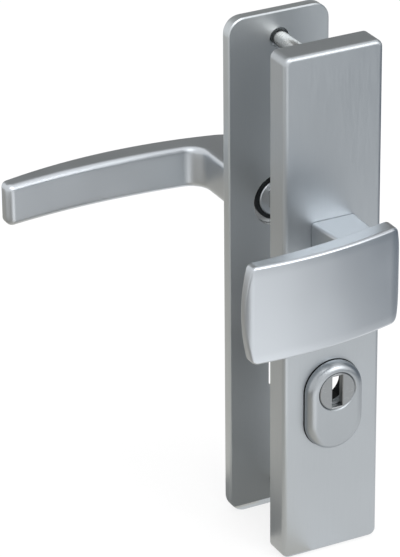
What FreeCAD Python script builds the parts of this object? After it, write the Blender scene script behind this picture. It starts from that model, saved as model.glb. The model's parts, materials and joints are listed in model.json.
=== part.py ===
"""Security door escutcheon: an outside shield with a fixed pull knob and a cover that hides the
lock cylinder, and a room-side plate with a sprung lever handle, drawn together through the door
by two screws. X is right as seen from outside, +Y goes into the door and +Z is up. The origin is
on the lever's axis, on the outer plate's door-side face. All sizes are in millimetres."""
import FreeCAD, Part
import math
import os
import Sketcher
from FreeCAD import Vector

# Driving sizes: name, value, what it is
DRIVING_SIZES = [
    # the pair of plates and the door between them
    ("door_leaf", 36.5, "door thickness, the gap between the two plates"),
    ("axis_height", 32.4, "lever axis above the middle of both plates"),
    ("lock_distance", 72.0, "lever axis to cylinder axis"),
    ("post_reach", 110.5, "plate middle to each fixing post"),
    ("slack", 0.3, "clearance of a piece laid into a pocket"),
    ("running_gap", 0.05, "radial clearance of a turning or sliding fit"),
    # outer plate
    ("outer_height", 245.0, "outer plate height"),
    ("outer_width", 48.5, "outer plate width"),
    ("outer_depth", 12.6, "outer plate depth"),
    ("outer_corner", 3.5, "outer plate corner radius"),
    ("outer_edge", 2.0, "rounding of the outer plate's front edge"),
    ("outer_rim", 4.0, "width of the rim round the pocket in the back"),
    ("outer_face", 3.6, "thickness of the outer plate's front wall"),
    ("armour_thickness", 3.5, "thickness of the hardened plate in that pocket"),
    ("armour_corner", 1.5, "bevel on the hardened plate's corners"),
    # pull knob
    ("grip_left", 68.8, "grip's far end, measured left from the axis"),
    ("grip_right", 11.1, "grip's near end, measured right from the axis"),
    ("grip_height", 45.8, "grip height"),
    ("grip_crown", 45.0, "most forward line of the grip, left of the axis"),
    ("grip_reach", 50.0, "outer plate's front to that line"),
    ("grip_front_radius", 192.0, "radius of the grip's bowed front, seen from above"),
    ("grip_back_radius", 290.0, "radius of its back"),
    ("grip_far_depth", 6.4, "grip thickness at the far end"),
    ("grip_far_roll", 5.4, "radius that rolls the front over at the far end"),
    ("grip_near_roll", 11.0, "the same at the near end"),
    ("grip_far_bow", 90.0, "radius of the far end, seen from the front"),
    ("grip_near_bow", 75.0, "the same at the near end"),
    ("grip_far_corner", 3.0, "corner radius at the far end, seen from the front"),
    ("grip_near_corner", 4.0, "the same at the near end"),
    ("grip_trim", 0.9, "what the bowed ends take off the rolled front"),
    ("grip_edge", 1.3, "rounding of the grip's long edges"),
    ("neck_width", 22.0, "knob neck width at its foot"),
    ("neck_height", 22.0, "knob neck height"),
    ("neck_head_width", 16.6, "knob neck width inside the grip"),
    ("neck_shift", 1.7, "sideways shift of the neck from foot to grip"),
    ("neck_edge", 1.7, "rounding of the neck's long edges"),
    ("neck_seam", 0.4, "bevel round the neck's foot"),
    ("knob_screw_spacing", 12.0, "distance between the two knob screws"),
    ("knob_screw_size", 6.0, "knob screw diameter"),
    ("knob_screw_bite", 11.0, "length of a knob screw inside the neck"),
    ("knob_screw_head", 10.2, "knob screw head diameter"),
    ("knob_screw_head_depth", 3.0, "height of that head"),
    ("knob_screw_drive", 4.0, "width across the flats of its recess"),
    # cylinder cover
    ("cover_width", 28.0, "cylinder cover width"),
    ("cover_height", 43.0, "cylinder cover height"),
    ("cover_drop", 8.0, "middle of the cover below the cylinder axis"),
    ("cover_proud", 5.5, "cover's front beyond the outer plate's front"),
    ("cover_edge", 4.0, "rounding of the cover's front edge"),
    ("cover_opening_edge", 0.5, "bevel round the opening for the key disc"),
    ("cover_tail", 4.0, "cover's back end, measured from the door"),
    ("cover_flange", 2.0, "width of the flange round the cover's back end"),
    ("cover_flange_depth", 1.4, "thickness of that flange"),
    ("cylinder_radius", 8.5, "round part of the lock cylinder"),
    ("cylinder_slot", 10.0, "width of the lock cylinder's flat part"),
    ("cylinder_height", 33.0, "lock cylinder's overall height"),
    ("cylinder_slack", 0.1, "clearance round the lock cylinder"),
    # turning disc with the key slot
    ("disc_radius", 8.9, "key disc radius"),
    ("disc_thickness", 3.0, "key disc head thickness"),
    ("disc_edge", 0.3, "bevel round the key disc and its slot"),
    ("disc_hub", 7.6, "outer radius of the key disc's hub"),
    ("disc_hub_bore", 6.8, "bore radius of that hub"),
    ("disc_web", 1.5, "web of the cover that carries the disc"),
    ("disc_ring", 0.8, "thickness of the disc's snap ring"),
    ("disc_ring_radius", 8.3, "outer radius of that ring"),
    ("key_slot_width", 5.2, "key slot width"),
    ("key_slot_height", 15.4, "key slot height"),
    # springs and retainer behind the cover
    ("cover_spring_side", 9.5, "cover springs left and right of the middle"),
    ("cover_spring_drop", 11.0, "cover springs below the cylinder axis"),
    ("cover_spring_radius", 1.6, "mean radius of a cover spring"),
    ("cover_spring_wire", 0.6, "square wire of a cover spring"),
    ("cover_spring_pitch", 3.6, "pitch of a cover spring"),
    ("cover_spring_hole", 2.2, "radius of the hole that holds a cover spring"),
    ("cover_spring_depth", 9.0, "depth of that hole"),
    ("retainer_sheet", 1.0, "sheet thickness of the cover retainer"),
    ("retainer_bend", 0.9, "outside radius of its bends"),
    ("retainer_width", 33.0, "cover retainer width"),
    ("retainer_window", 2.3, "retainer's window beyond the lock cylinder's round part"),
    ("retainer_foot", 6.5, "length of the retainer's screwed feet"),
    ("retainer_recess", 0.4, "retainer's back, measured from the door"),
    ("retainer_screw_size", 3.0, "retainer screw diameter"),
    ("retainer_screw_head", 5.4, "retainer screw head diameter"),
    ("retainer_screw_head_depth", 1.8, "height of that head"),
    ("retainer_screw_drive", 2.0, "width across the flats of its recess"),
    # threaded posts and their screws
    ("post_size", 7.0, "fixing post diameter"),
    ("post_waist", 8.0, "diameter of the post in the hardened plate"),
    ("post_foot", 12.0, "diameter of the post's foot flange"),
    ("post_foot_depth", 1.6, "thickness of that flange"),
    ("post_entry", 2.5, "how far a post enters the inner plate"),
    ("post_hole", 9.4, "hole in the inner plate that takes a post"),
    ("fixing_screw_size", 5.0, "fixing screw diameter"),
    ("fixing_head", 9.6, "fixing screw head diameter"),
    ("fixing_screw_drive", 3.0, "width across the flats of its recess"),
    ("fixing_screw_bite", 15.5, "length of a fixing screw inside its post"),
    # inner plate
    ("inner_height", 246.0, "inner plate height"),
    ("inner_width", 50.3, "inner plate width"),
    ("inner_depth", 7.0, "inner plate depth"),
    ("inner_corner", 8.0, "inner plate corner radius"),
    ("inner_edge", 2.5, "rounding of the inner plate's room-side edge"),
    ("inner_back_edge", 0.6, "bevel of its door-side edge"),
    # lever bearing, from the door side inwards
    ("journal_radius", 8.5, "lever journal radius"),
    ("journal_recess", 1.8, "journal's end below the door-side face"),
    ("journal_chamfer", 0.4, "chamfer on the journal's end"),
    ("ring_recess", 2.5, "lever snap ring below the door-side face"),
    ("ring_thickness", 1.0, "lever snap ring thickness"),
    ("ring_outer", 10.4, "lever snap ring outer radius"),
    ("ring_groove", 7.9, "radius of the journal in the ring's groove"),
    ("washer_thickness", 0.5, "driver washer thickness"),
    ("washer_radius", 12.5, "driver washer radius"),
    ("bearing_bore", 12.75, "radius of the round pocket in the door side"),
    ("bearing_depth", 5.4, "depth of that pocket"),
    ("bush_radius", 10.25, "outer radius of the bush"),
    ("bush_collar", 12.6, "radius of the bush's collar on the room side"),
    ("bush_collar_depth", 1.0, "thickness of that collar"),
    ("coil_radius", 11.3, "mean radius of the lever's return spring"),
    ("coil_wire", 1.0, "square wire of the return spring"),
    ("coil_slot", 1.7, "width of the slots that hold the spring's ends"),
    ("key_width", 3.0, "width of the tongue that turns the driver washer"),
    ("key_depth", 1.0, "depth of that tongue in the journal"),
    # lever
    ("lever_height", 20.2, "lever height"),
    ("neck_left", 14.3, "lever neck, left of the axis"),
    ("neck_right", 11.0, "lever neck, right of the axis"),
    ("lever_tip", 110.4, "lever's free end, left of the axis"),
    ("hand_gap_tip", 42.4, "inner plate to the lever's inner face, at the free end"),
    ("hand_gap_neck", 41.6, "the same where the arm meets the neck"),
    ("arm_inner_radius", 308.0, "radius of the arm's inner face"),
    ("arm_reach_tip", 51.1, "inner plate to the arm's outer face, at the free end"),
    ("arm_reach_neck", 47.8, "the same above the neck"),
    ("arm_outer_radius", 215.0, "radius of the arm's outer face"),
    ("bend_inner", 9.0, "radius of the bend inside"),
    ("bend_outer", 17.5, "radius of the bend outside"),
    ("tip_round", 3.2, "rounding of the free end's upright edges"),
    ("lever_edge", 2.8, "rounding of the lever's long edges"),
    # spindle and grub screw
    ("spindle_side", 8.0, "square spindle"),
    ("spindle_start", 8.0, "spindle's free end, from the outer plate's back"),
    ("spindle_socket", 30.0, "spindle's length inside the lever's neck"),
    ("grub_size", 6.0, "grub screw diameter"),
    ("grub_offset", 8.0, "grub screw from the neck's foot"),
]

# Open part of a snap ring and places of the return spring's two ends, in degrees
RING_OPENING = 70.0
COIL_TURN = 300.0
COIL_DRIVEN_END = 360.0 - COIL_TURN

# Depth of a screw's six-sided recess as a share of its width
RECESS_SHARE = 0.55

# Two lengths in millimetres within this of each other are the same, and no edge is as short
SAME_PLACE = 0.01
SHORTEST_EDGE = 0.1


class Size:
    """A length as the number it has now and as the spreadsheet formula that drives it."""

    def __init__(self, number, formula):
        self.number = number
        self.formula = formula

    def __add__(self, other):
        other = as_size(other)
        return Size(self.number + other.number, f"({self.formula} + {other.formula})")

    def __sub__(self, other):
        other = as_size(other)
        return Size(self.number - other.number, f"({self.formula} - {other.formula})")

    def __mul__(self, other):
        other = as_size(other)
        return Size(self.number * other.number, f"({self.formula} * {other.formula})")

    def __truediv__(self, other):
        other = as_size(other)
        return Size(self.number / other.number, f"({self.formula} / {other.formula})")

    def __neg__(self):
        return Size(-self.number, f"(0 - {self.formula})")


def as_size(value):
    """Take a plain number as a size too."""
    return value if isinstance(value, Size) else Size(float(value), f"{value:.9f}")


def root(value):
    return Size(math.sqrt(value.number), f"sqrt({value.formula})")


def polar(radius, degrees):
    """A place at a radius and an angle, as its two distances from the middle."""
    turn = math.radians(degrees)
    return radius * math.cos(turn), radius * math.sin(turn)


ZERO = Size(0.0, "0")

doc = FreeCAD.newDocument("DoorEscutcheon")
sheet = doc.addObject("Spreadsheet::Sheet", "Sizes")


class Sizes:
    """Every driving size under its own name."""


size = Sizes()
for row, (name, value, meaning) in enumerate(DRIVING_SIZES, 1):
    sheet.set(f"A{row}", name)
    sheet.set(f"B{row}", str(value))
    sheet.set(f"C{row}", meaning)
    sheet.setAlias(f"B{row}", name)
    setattr(size, name, Size(value, f"Sizes.{name}"))
doc.recompute()

# Places worked out from the driving sizes; depths run along +Y from the outer plate's back
PLATE_MIDDLE = -size.axis_height
CYLINDER_AXIS = -size.lock_distance
COVER_MIDDLE = CYLINDER_AXIS - size.cover_drop
POST_HEIGHTS = {"upper": PLATE_MIDDLE + size.post_reach, "lower": PLATE_MIDDLE - size.post_reach}
KNOB_SCREW_HEIGHTS = {"upper": size.knob_screw_spacing / 2, "lower": -size.knob_screw_spacing / 2}
OUTER_FRONT = -size.outer_depth
ARMOUR_FRONT = OUTER_FRONT + size.outer_face
ARMOUR_BACK = ARMOUR_FRONT + size.armour_thickness
COVER_FRONT = OUTER_FRONT - size.cover_proud
COVER_BACK = -size.cover_tail
DISC_BACK = COVER_FRONT + size.disc_thickness
WEB_FRONT = DISC_BACK + size.running_gap
WEB_BACK = WEB_FRONT + size.disc_web
DISC_RING_FRONT = WEB_BACK + size.running_gap
DISC_RING_BACK = DISC_RING_FRONT + size.disc_ring
RETAINER_BACK = -size.retainer_recess
RETAINER_FRONT = RETAINER_BACK - size.retainer_sheet
# the retainer's bridge clears the cover's flange; its screws sit in the middle of its feet
BRIDGE_REACH = size.cover_height / 2 + size.cover_flange + size.slack * 5
SCREW_REACH = BRIDGE_REACH + size.retainer_sheet + size.retainer_foot / 2
RETAINER_SCREWS = {"upper": COVER_MIDDLE + SCREW_REACH, "lower": COVER_MIDDLE - SCREW_REACH}
INNER_DOOR_SIDE = size.door_leaf
INNER_ROOM_SIDE = INNER_DOOR_SIDE + size.inner_depth
POST_END = INNER_DOOR_SIDE + size.post_entry
JOURNAL_END = INNER_DOOR_SIDE + size.journal_recess
RING_FRONT = INNER_DOOR_SIDE + size.ring_recess
RING_BACK = RING_FRONT + size.ring_thickness
WASHER_FRONT = RING_BACK + size.running_gap
WASHER_BACK = WASHER_FRONT + size.washer_thickness
CHAMBER_FLOOR = INNER_DOOR_SIDE + size.bearing_depth
COIL_DEPTH = (WASHER_BACK + CHAMBER_FLOOR) / 2
LEVER_SHOULDER = INNER_ROOM_SIDE + size.bush_collar_depth + size.running_gap * 2
SPINDLE_END = LEVER_SHOULDER + size.spindle_socket


def bind(thing, path, length):
    """Let a spreadsheet formula drive one property."""
    thing.setExpression(path, length.formula)


def apply_settings(feature, settings):
    """Set a feature's properties, those given as sizes by their formula."""
    for key, value in settings.items():
        if isinstance(value, Size):
            bind(feature, key, value)
        else:
            setattr(feature, key, value)
    doc.recompute()
    if "Invalid" in feature.State:
        raise RuntimeError(f"{feature.Label} can't be built")


def new_body(label):
    body = doc.addObject("PartDesign::Body", label)
    body.Label = label
    return body


def new_sketch(body, name, role, across=ZERO, up=ZERO, out=ZERO):
    """A sketch on one of the body's own planes, with its origin moved across, up and out of it."""
    sketch = body.newObject("Sketcher::SketchObject", name)
    plane = next(f for f in body.Origin.OriginFeatures if f.Role == role)
    sketch.AttachmentSupport = [(plane, "")]
    sketch.MapMode = "FlatFace"
    for axis, length in zip("xyz", (across, up, out)):
        bind(sketch, f"AttachmentOffset.Base.{axis}", length)
    return sketch


def face_sketch(body, name, depth, x=ZERO, z=ZERO):
    """A sketch parallel to the door; its own normal points out of the door, along -Y."""
    return new_sketch(body, name, "XZ_Plane", x, z, -depth)


def plan_sketch(body, name, x=ZERO, z=ZERO):
    """A sketch seen from above, with +Y as its upward axis."""
    return new_sketch(body, name, "XY_Plane", x, ZERO, z)


def pin_point(sketch, curve, end, x, y):
    """Fix one end of a curve at a place given by two sizes."""
    for kind, length, axis in (("DistanceX", x, -2), ("DistanceY", y, -1)):
        if length.formula == "0":
            sketch.addConstraint(Sketcher.Constraint("PointOnObject", curve, end, axis))
        else:
            row = sketch.addConstraint(Sketcher.Constraint(kind, -1, 1, curve, end, length.number))
            bind(sketch, f"Constraints[{row}]", length)


def drive(sketch, kind, curve, length):
    """Fix a curve's own size, such as its radius."""
    row = sketch.addConstraint(Sketcher.Constraint(kind, curve, length.number))
    bind(sketch, f"Constraints[{row}]", length)


def arc_between(start, end, radius):
    """The short arc from start to end; it bulges to the left of that way, or right if negative."""
    chord = end - start
    left = Vector(-chord.y, chord.x, 0).normalize()
    half = chord.Length / 2
    rise = abs(radius) - math.sqrt(radius * radius - half * half)
    return Part.Arc(start, start + chord / 2 + left * math.copysign(rise, radius), end)


def draw_outline(sketch, points, arcs=None):
    """Close a loop through the points, straight but for the runs that arcs gives a radius."""
    arcs = arcs or {}
    corners = [Vector(x.number, y.number, 0) for x, y in points]
    runs = []
    for number, start in enumerate(corners):
        end = corners[(number + 1) % len(corners)]
        radius = arcs.get(number)
        if radius is None:
            curve = sketch.addGeometry(Part.LineSegment(start, end))
            runs.append((curve, 1, 2))
            continue
        curve = sketch.addGeometry(arc_between(start, end, radius.number))
        drive(sketch, "Radius", curve, radius if radius.number > 0 else -radius)
        # a sketch keeps arcs anticlockwise, so one that bulges left is stored end to start
        runs.append((curve, 2, 1) if radius.number > 0 else (curve, 1, 2))
    for number, (curve, start, end) in enumerate(runs):
        following = runs[(number + 1) % len(runs)]
        joint = Sketcher.Constraint("Coincident", curve, end, following[0], following[1])
        sketch.addConstraint(joint)
        pin_point(sketch, curve, start, *points[number])
    return sketch


def draw_rectangle(sketch, width, height):
    """A rectangle centred on the sketch's origin."""
    right, top = width / 2, height / 2
    return draw_outline(sketch, [(-right, -top), (right, -top), (right, top), (-right, top)])


def draw_wire(sketch, x, y, half):
    """The square section of a spring's wire round one place of a sketch."""
    corners = [(x - half, y - half), (x + half, y - half), (x + half, y + half), (x - half, y + half)]
    return draw_outline(sketch, corners)


def draw_circle(sketch, radius):
    """A circle centred on the sketch's origin."""
    curve = sketch.addGeometry(Part.Circle(Vector(), Vector(0, 0, 1), radius.number))
    sketch.addConstraint(Sketcher.Constraint("Coincident", curve, 3, -1, 1))
    drive(sketch, "Radius", curve, radius)
    return sketch


def draw_stadium(sketch, width, height):
    """An upright slot with round ends, centred on the sketch's origin."""
    side, flat, top = width / 2, (height - width) / 2, height / 2
    points = [(-side, -flat), (ZERO, -top), (side, -flat), (side, flat), (ZERO, top), (-side, flat)]
    return draw_outline(sketch, points, {0: -side, 1: -side, 3: -side, 4: -side})


def draw_profile(sketch, slack, round_extra=ZERO):
    """The lock cylinder's outline grown by some slack, its round part on the sketch's origin."""
    radius = size.cylinder_radius + slack + round_extra
    side = size.cylinder_slot / 2 + slack
    shoulder = -root(radius * radius - side * side)
    foot = size.cylinder_radius - size.cylinder_height + size.cylinder_slot / 2
    points = [(side, shoulder), (ZERO, radius), (-side, shoulder),
              (-side, foot), (ZERO, foot - side), (side, foot)]
    return draw_outline(sketch, points, {0: -radius, 1: -radius, 3: -side, 4: -side})


def draw_snap_ring(sketch, inner, outer):
    """An open ring whose gap lies to the right."""
    first, last = RING_OPENING / 2, 360 - RING_OPENING / 2
    points = [polar(outer, first), (-outer, ZERO), polar(outer, last),
              polar(inner, last), (-inner, ZERO), polar(inner, first)]
    return draw_outline(sketch, points, {0: -outer, 1: -outer, 3: inner, 4: inner})


def add_feature(body, kind, name, sketch, **settings):
    feature = body.newObject(f"PartDesign::{kind}", name)
    feature.Profile = sketch
    sketch.Visibility = False
    apply_settings(feature, settings)
    return feature


def pad(body, name, sketch, length, into_door=False, both_ways=False):
    """Add material along the sketch's normal, or against it, into the door."""
    side = "Symmetric" if both_ways else "One side"
    return add_feature(body, "Pad", name, sketch, SideType=side, Length=length, Reversed=into_door)


def revolve(body, name, sketch, degrees=360.0):
    """Turn a plan sketch about its own upward axis, which runs along Y."""
    axis = (sketch, ["V_Axis"])
    return add_feature(body, "Revolution", name, sketch, ReferenceAxis=axis, Angle=degrees)


def must_shrink(body, name, before):
    if not body.Shape.Volume < before:
        raise RuntimeError(f"{name} cuts nothing from {body.Label}")


def cut(body, name, sketch, length, into_door=False):
    """Take material away along the sketch's normal, or against it, into the door."""
    before = body.Shape.Volume
    # a pocket runs against its sketch's normal unless it is reversed
    add_feature(body, "Pocket", name, sketch, Length=length, Reversed=not into_door)
    must_shrink(body, name, before)


def turn_out(body, name, sketch):
    """Take away what a plan sketch sweeps when it turns about its own upward axis."""
    before = body.Shape.Volume
    add_feature(body, "Groove", name, sketch, ReferenceAxis=(sketch, ["V_Axis"]), Angle=360.0)
    must_shrink(body, name, before)


def dress(body, kind, name, test, **settings):
    """Round or bevel those edges of the body's present shape that pass a test."""
    edges = [f"Edge{n}" for n, edge in enumerate(body.Shape.Edges, 1) if test(edge)]
    if not edges:
        raise RuntimeError(f"{name} finds no edge on {body.Label}")
    base = body.Tip
    feature = body.newObject(f"PartDesign::{kind}", name)
    feature.Base = (base, edges)
    apply_settings(feature, settings)


def near(value, length):
    return abs(value - length.number) < SAME_PLACE


def runs_along(edge, axis):
    """Whether an edge is straight along X, Y or Z."""
    spans = {name: getattr(edge.BoundBox, f"{name}Length") for name in "XYZ"}
    return spans.pop(axis) > SHORTEST_EDGE and max(spans.values()) < SAME_PLACE


def lies_at_depth(edge, depth):
    return near(edge.BoundBox.YMin, depth) and near(edge.BoundBox.YMax, depth)


def lies_level(edge, height):
    return near(edge.BoundBox.ZMin, height) and near(edge.BoundBox.ZMax, height)


def turned_piece(label, profile, x=ZERO, z=ZERO):
    """A round piece: a closed profile of (radius, depth) points turned about a Y axis at x, z."""
    body = new_body(label)
    sketch = draw_outline(plan_sketch(body, f"{label}_profile", x, z), profile)
    revolve(body, f"{label}_turned", sketch)
    return body


def drive_recess(body, name, depth, across_flats, z=ZERO):
    """A six-sided recess in a screw's room-side end."""
    sketch = face_sketch(body, f"{name}_outline", depth, z=z)
    radius = across_flats / math.sqrt(3)
    draw_outline(sketch, [polar(radius, 60 * corner + 30) for corner in range(6)])
    cut(body, name, sketch, across_flats * RECESS_SHARE)


def rounded_plate(label, width, height, front, depth, corner):
    """A plate with round corners that begins at the depth called front."""
    body = new_body(label)
    sketch = draw_rectangle(face_sketch(body, f"{label}_outline", front, z=PLATE_MIDDLE), width, height)
    pad(body, f"{label}_blank", sketch, depth, into_door=True)
    dress(body, "Fillet", f"{label}_corners", lambda edge: runs_along(edge, "Y"), Radius=corner)
    return body


def make_outer_plate():
    """Aluminium shield: a deep rounded plate, hollow at the back, with the cover's opening."""
    body = rounded_plate("outer_plate", size.outer_width, size.outer_height, OUTER_FRONT,
                         size.outer_depth, size.outer_corner)
    dress(body, "Fillet", "outer_front_edge", lambda edge: lies_at_depth(edge, OUTER_FRONT),
          Radius=size.outer_edge)
    hollow = face_sketch(body, "outer_hollow_outline", ARMOUR_FRONT, z=PLATE_MIDDLE)
    rims = size.outer_rim * 2
    draw_rectangle(hollow, size.outer_width - rims, size.outer_height - rims)
    cut(body, "outer_hollow", hollow, -ARMOUR_FRONT, into_door=True)
    opening = face_sketch(body, "outer_opening_outline", OUTER_FRONT, z=COVER_MIDDLE)
    draw_stadium(opening, size.cover_width + size.slack * 2, size.cover_height + size.slack * 2)
    cut(body, "outer_opening", opening, size.outer_face, into_door=True)
    for name, height in KNOB_SCREW_HEIGHTS.items():
        hole = face_sketch(body, f"outer_knob_hole_{name}_outline", OUTER_FRONT, z=height)
        draw_circle(hole, size.knob_screw_size / 2 + size.slack / 2)
        cut(body, f"outer_knob_hole_{name}", hole, size.outer_face, into_door=True)
    return body


def make_armour_plate():
    """Hardened steel plate in the shield's pocket, bored for everything that passes it."""
    body = new_body("armour_plate")
    outline = face_sketch(body, "armour_outline", ARMOUR_FRONT, z=PLATE_MIDDLE)
    play = (size.outer_rim + size.slack) * 2
    draw_rectangle(outline, size.outer_width - play, size.outer_height - play)
    pad(body, "armour_blank", outline, size.armour_thickness, into_door=True)
    dress(body, "Chamfer", "armour_corners", lambda edge: runs_along(edge, "Y"), Size=size.armour_corner)
    opening = face_sketch(body, "armour_opening_outline", ARMOUR_FRONT, z=COVER_MIDDLE)
    draw_stadium(opening, size.cover_width + size.slack * 2, size.cover_height + size.slack * 2)
    cut(body, "armour_opening", opening, size.armour_thickness, into_door=True)
    seat = size.post_foot / 2 + size.slack / 2
    seat_floor = ARMOUR_FRONT + size.post_foot_depth + size.running_gap
    waist = size.post_waist / 2 + size.running_gap
    for name, height in POST_HEIGHTS.items():
        stepped = plan_sketch(body, f"armour_post_hole_{name}_profile", z=height)
        draw_outline(stepped, [(ZERO, ARMOUR_FRONT), (seat, ARMOUR_FRONT), (seat, seat_floor),
                               (waist, seat_floor), (waist, ARMOUR_BACK), (ZERO, ARMOUR_BACK)])
        turn_out(body, f"armour_post_hole_{name}", stepped)
    for name, height in KNOB_SCREW_HEIGHTS.items():
        hole = face_sketch(body, f"armour_knob_hole_{name}_outline", ARMOUR_FRONT, z=height)
        draw_circle(hole, size.knob_screw_size / 2 + size.slack / 2)
        cut(body, f"armour_knob_hole_{name}", hole, size.armour_thickness, into_door=True)
    for name, height in RETAINER_SCREWS.items():
        hole = face_sketch(body, f"armour_thread_{name}_outline", ARMOUR_FRONT, z=height)
        draw_circle(hole, size.retainer_screw_size / 2 + size.running_gap)
        cut(body, f"armour_thread_{name}", hole, size.armour_thickness, into_door=True)
    return body


def blend(centre, radius, corner, end, way):
    """Where a large arc meets the small arc that turns it square at an end, and where that stops.

    Both places are given as the distance along the end's own axis and the distance across it;
    way says on which side of its centre the large arc lies.
    """
    along = end - corner if end.number > centre[0].number else end + corner
    rest = radius - corner
    offset = along - centre[0]
    across = centre[1] + root(rest * rest - offset * offset) * way
    stretch = radius / rest
    meeting = (centre[0] + offset * stretch, centre[1] + (across - centre[1]) * stretch)
    return meeting, (end, across)


def make_pull_knob():
    """Fixed pull: a bowed grip, rolled over at both ends and cranked to one side of its neck."""
    body = new_body("pull_knob")
    add_knob_neck(body)
    left, right = -size.grip_left, size.grip_right
    front = size.grip_front_radius
    centre = (-size.grip_crown, OUTER_FRONT - size.grip_reach + front)
    far, far_side = blend(centre, front, size.grip_far_roll, left - size.grip_trim, -1.0)
    close, close_side = blend(centre, front, size.grip_near_roll, right + size.grip_trim, -1.0)
    back = (far_side[0], far_side[1] - size.grip_far_roll + size.grip_far_depth)
    plan = plan_sketch(body, "grip_plan")
    draw_outline(plan, [far_side, far, close, close_side, back],
                 {0: -size.grip_far_roll, 1: -front, 2: -size.grip_near_roll, 3: size.grip_back_radius})
    pad(body, "grip_blank", plan, size.grip_height, both_ways=True)
    trim_grip_end(body, "far", left, size.grip_far_bow, size.grip_far_corner)
    trim_grip_end(body, "near", right, size.grip_near_bow, size.grip_near_corner)
    dress(body, "Fillet", "grip_edges", is_grip_edge, Radius=size.grip_edge)
    for name, height in KNOB_SCREW_HEIGHTS.items():
        thread = face_sketch(body, f"knob_thread_{name}_outline", OUTER_FRONT, z=height)
        draw_circle(thread, size.knob_screw_size / 2 + size.running_gap)
        cut(body, f"knob_thread_{name}", thread, size.knob_screw_bite + size.slack)
    return body


def is_grip_edge(edge):
    """Whether an edge is one of the long ones along the grip's top or bottom."""
    top = size.grip_height / 2
    long = edge.BoundBox.XLength > size.grip_near_roll.number / 2
    return long and (lies_level(edge, top) or lies_level(edge, -top))


def add_knob_neck(body):
    """The neck from its foot on the shield into the grip: narrower at the grip, long edges rounded."""
    head = OUTER_FRONT - size.grip_reach + size.grip_near_roll + size.grip_far_depth / 2
    foot_side, head_side = size.neck_width / 2, size.neck_head_width / 2
    plan = plan_sketch(body, "neck_plan")
    draw_outline(plan, [
        (-foot_side, OUTER_FRONT), (size.neck_shift - head_side, head),
        (size.neck_shift + head_side, head), (foot_side, OUTER_FRONT),
    ])
    pad(body, "neck", plan, size.neck_height, both_ways=True)
    dress(body, "Fillet", "neck_edges", lambda edge: edge.BoundBox.YLength > SHORTEST_EDGE,
          Radius=size.neck_edge)
    dress(body, "Chamfer", "neck_seam", lambda edge: lies_at_depth(edge, OUTER_FRONT), Size=size.neck_seam)


def trim_grip_end(body, name, end, bow, corner):
    """Bow one end of the grip, seen from the front, and round its two corners."""
    way = -1.0 if end.number < 0 else 1.0
    top = size.grip_height / 2
    (upper, side), (_, turned) = blend((ZERO, end - bow * way), bow, corner, top, way)
    beyond = end + corner * way
    above = top + corner
    outside = face_sketch(body, f"grip_{name}_end_outline", OUTER_FRONT - size.grip_reach - corner)
    draw_outline(outside, [
        (side, upper), (side, -upper), (turned, -top), (turned, -above),
        (beyond, -above), (beyond, above), (turned, above), (turned, top),
    ], {0: bow * way, 1: corner * way, 7: corner * way})
    cut(body, f"grip_{name}_end", outside, size.grip_near_roll * 2, into_door=True)


def make_knob_screws():
    """Two screws from behind that hold the knob through shield and hardened plate."""
    body = new_body("knob_screws")
    shank = size.knob_screw_size / 2
    head = size.knob_screw_head / 2
    tip = OUTER_FRONT - size.knob_screw_bite
    top = ARMOUR_BACK + size.knob_screw_head_depth
    for name, height in KNOB_SCREW_HEIGHTS.items():
        profile = plan_sketch(body, f"knob_screw_{name}_profile", z=height)
        draw_outline(profile, [(ZERO, tip), (shank, tip), (shank, ARMOUR_BACK),
                               (head, ARMOUR_BACK), (head, top), (ZERO, top)])
        revolve(body, f"knob_screw_{name}", profile)
    for name, height in KNOB_SCREW_HEIGHTS.items():
        drive_recess(body, f"knob_screw_{name}_drive", top, size.knob_screw_drive, z=height)
    return body


def make_cylinder_cover():
    """Cover that hides the lock cylinder and gives way a little towards the door."""
    body = new_body("cylinder_cover")
    outline = face_sketch(body, "cover_outline", COVER_FRONT, z=COVER_MIDDLE)
    draw_stadium(outline, size.cover_width, size.cover_height)
    pad(body, "cover_blank", outline, COVER_BACK - COVER_FRONT, into_door=True)
    dress(body, "Fillet", "cover_front_edge", lambda edge: lies_at_depth(edge, COVER_FRONT),
          Radius=size.cover_edge)
    flange = face_sketch(body, "cover_flange_outline", COVER_BACK, z=COVER_MIDDLE)
    widening = size.cover_flange * 2
    draw_stadium(flange, size.cover_width + widening, size.cover_height + widening)
    pad(body, "cover_flange_rim", flange, size.cover_flange_depth)
    cavity = face_sketch(body, "cover_cavity_outline", COVER_BACK, z=CYLINDER_AXIS)
    draw_profile(cavity, size.cylinder_slack * 2)
    cut(body, "cover_cavity", cavity, COVER_BACK - WEB_BACK)
    recess = size.disc_radius + size.cylinder_slack
    bore = size.disc_hub + size.cylinder_slack
    seat = plan_sketch(body, "cover_disc_seat_profile", z=CYLINDER_AXIS)
    bevel = size.cover_opening_edge
    draw_outline(seat, [(ZERO, COVER_FRONT), (recess + bevel, COVER_FRONT),
                        (recess, COVER_FRONT + bevel), (recess, WEB_FRONT),
                        (bore, WEB_FRONT), (bore, WEB_BACK), (ZERO, WEB_BACK)])
    turn_out(body, "cover_disc_seat", seat)
    for name, side in (("left", -1.0), ("right", 1.0)):
        hole = face_sketch(body, f"cover_spring_hole_{name}_outline", COVER_BACK,
                           size.cover_spring_side * side, CYLINDER_AXIS - size.cover_spring_drop)
        draw_circle(hole, size.cover_spring_hole)
        cut(body, f"cover_spring_hole_{name}", hole, size.cover_spring_depth)
    return body


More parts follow.
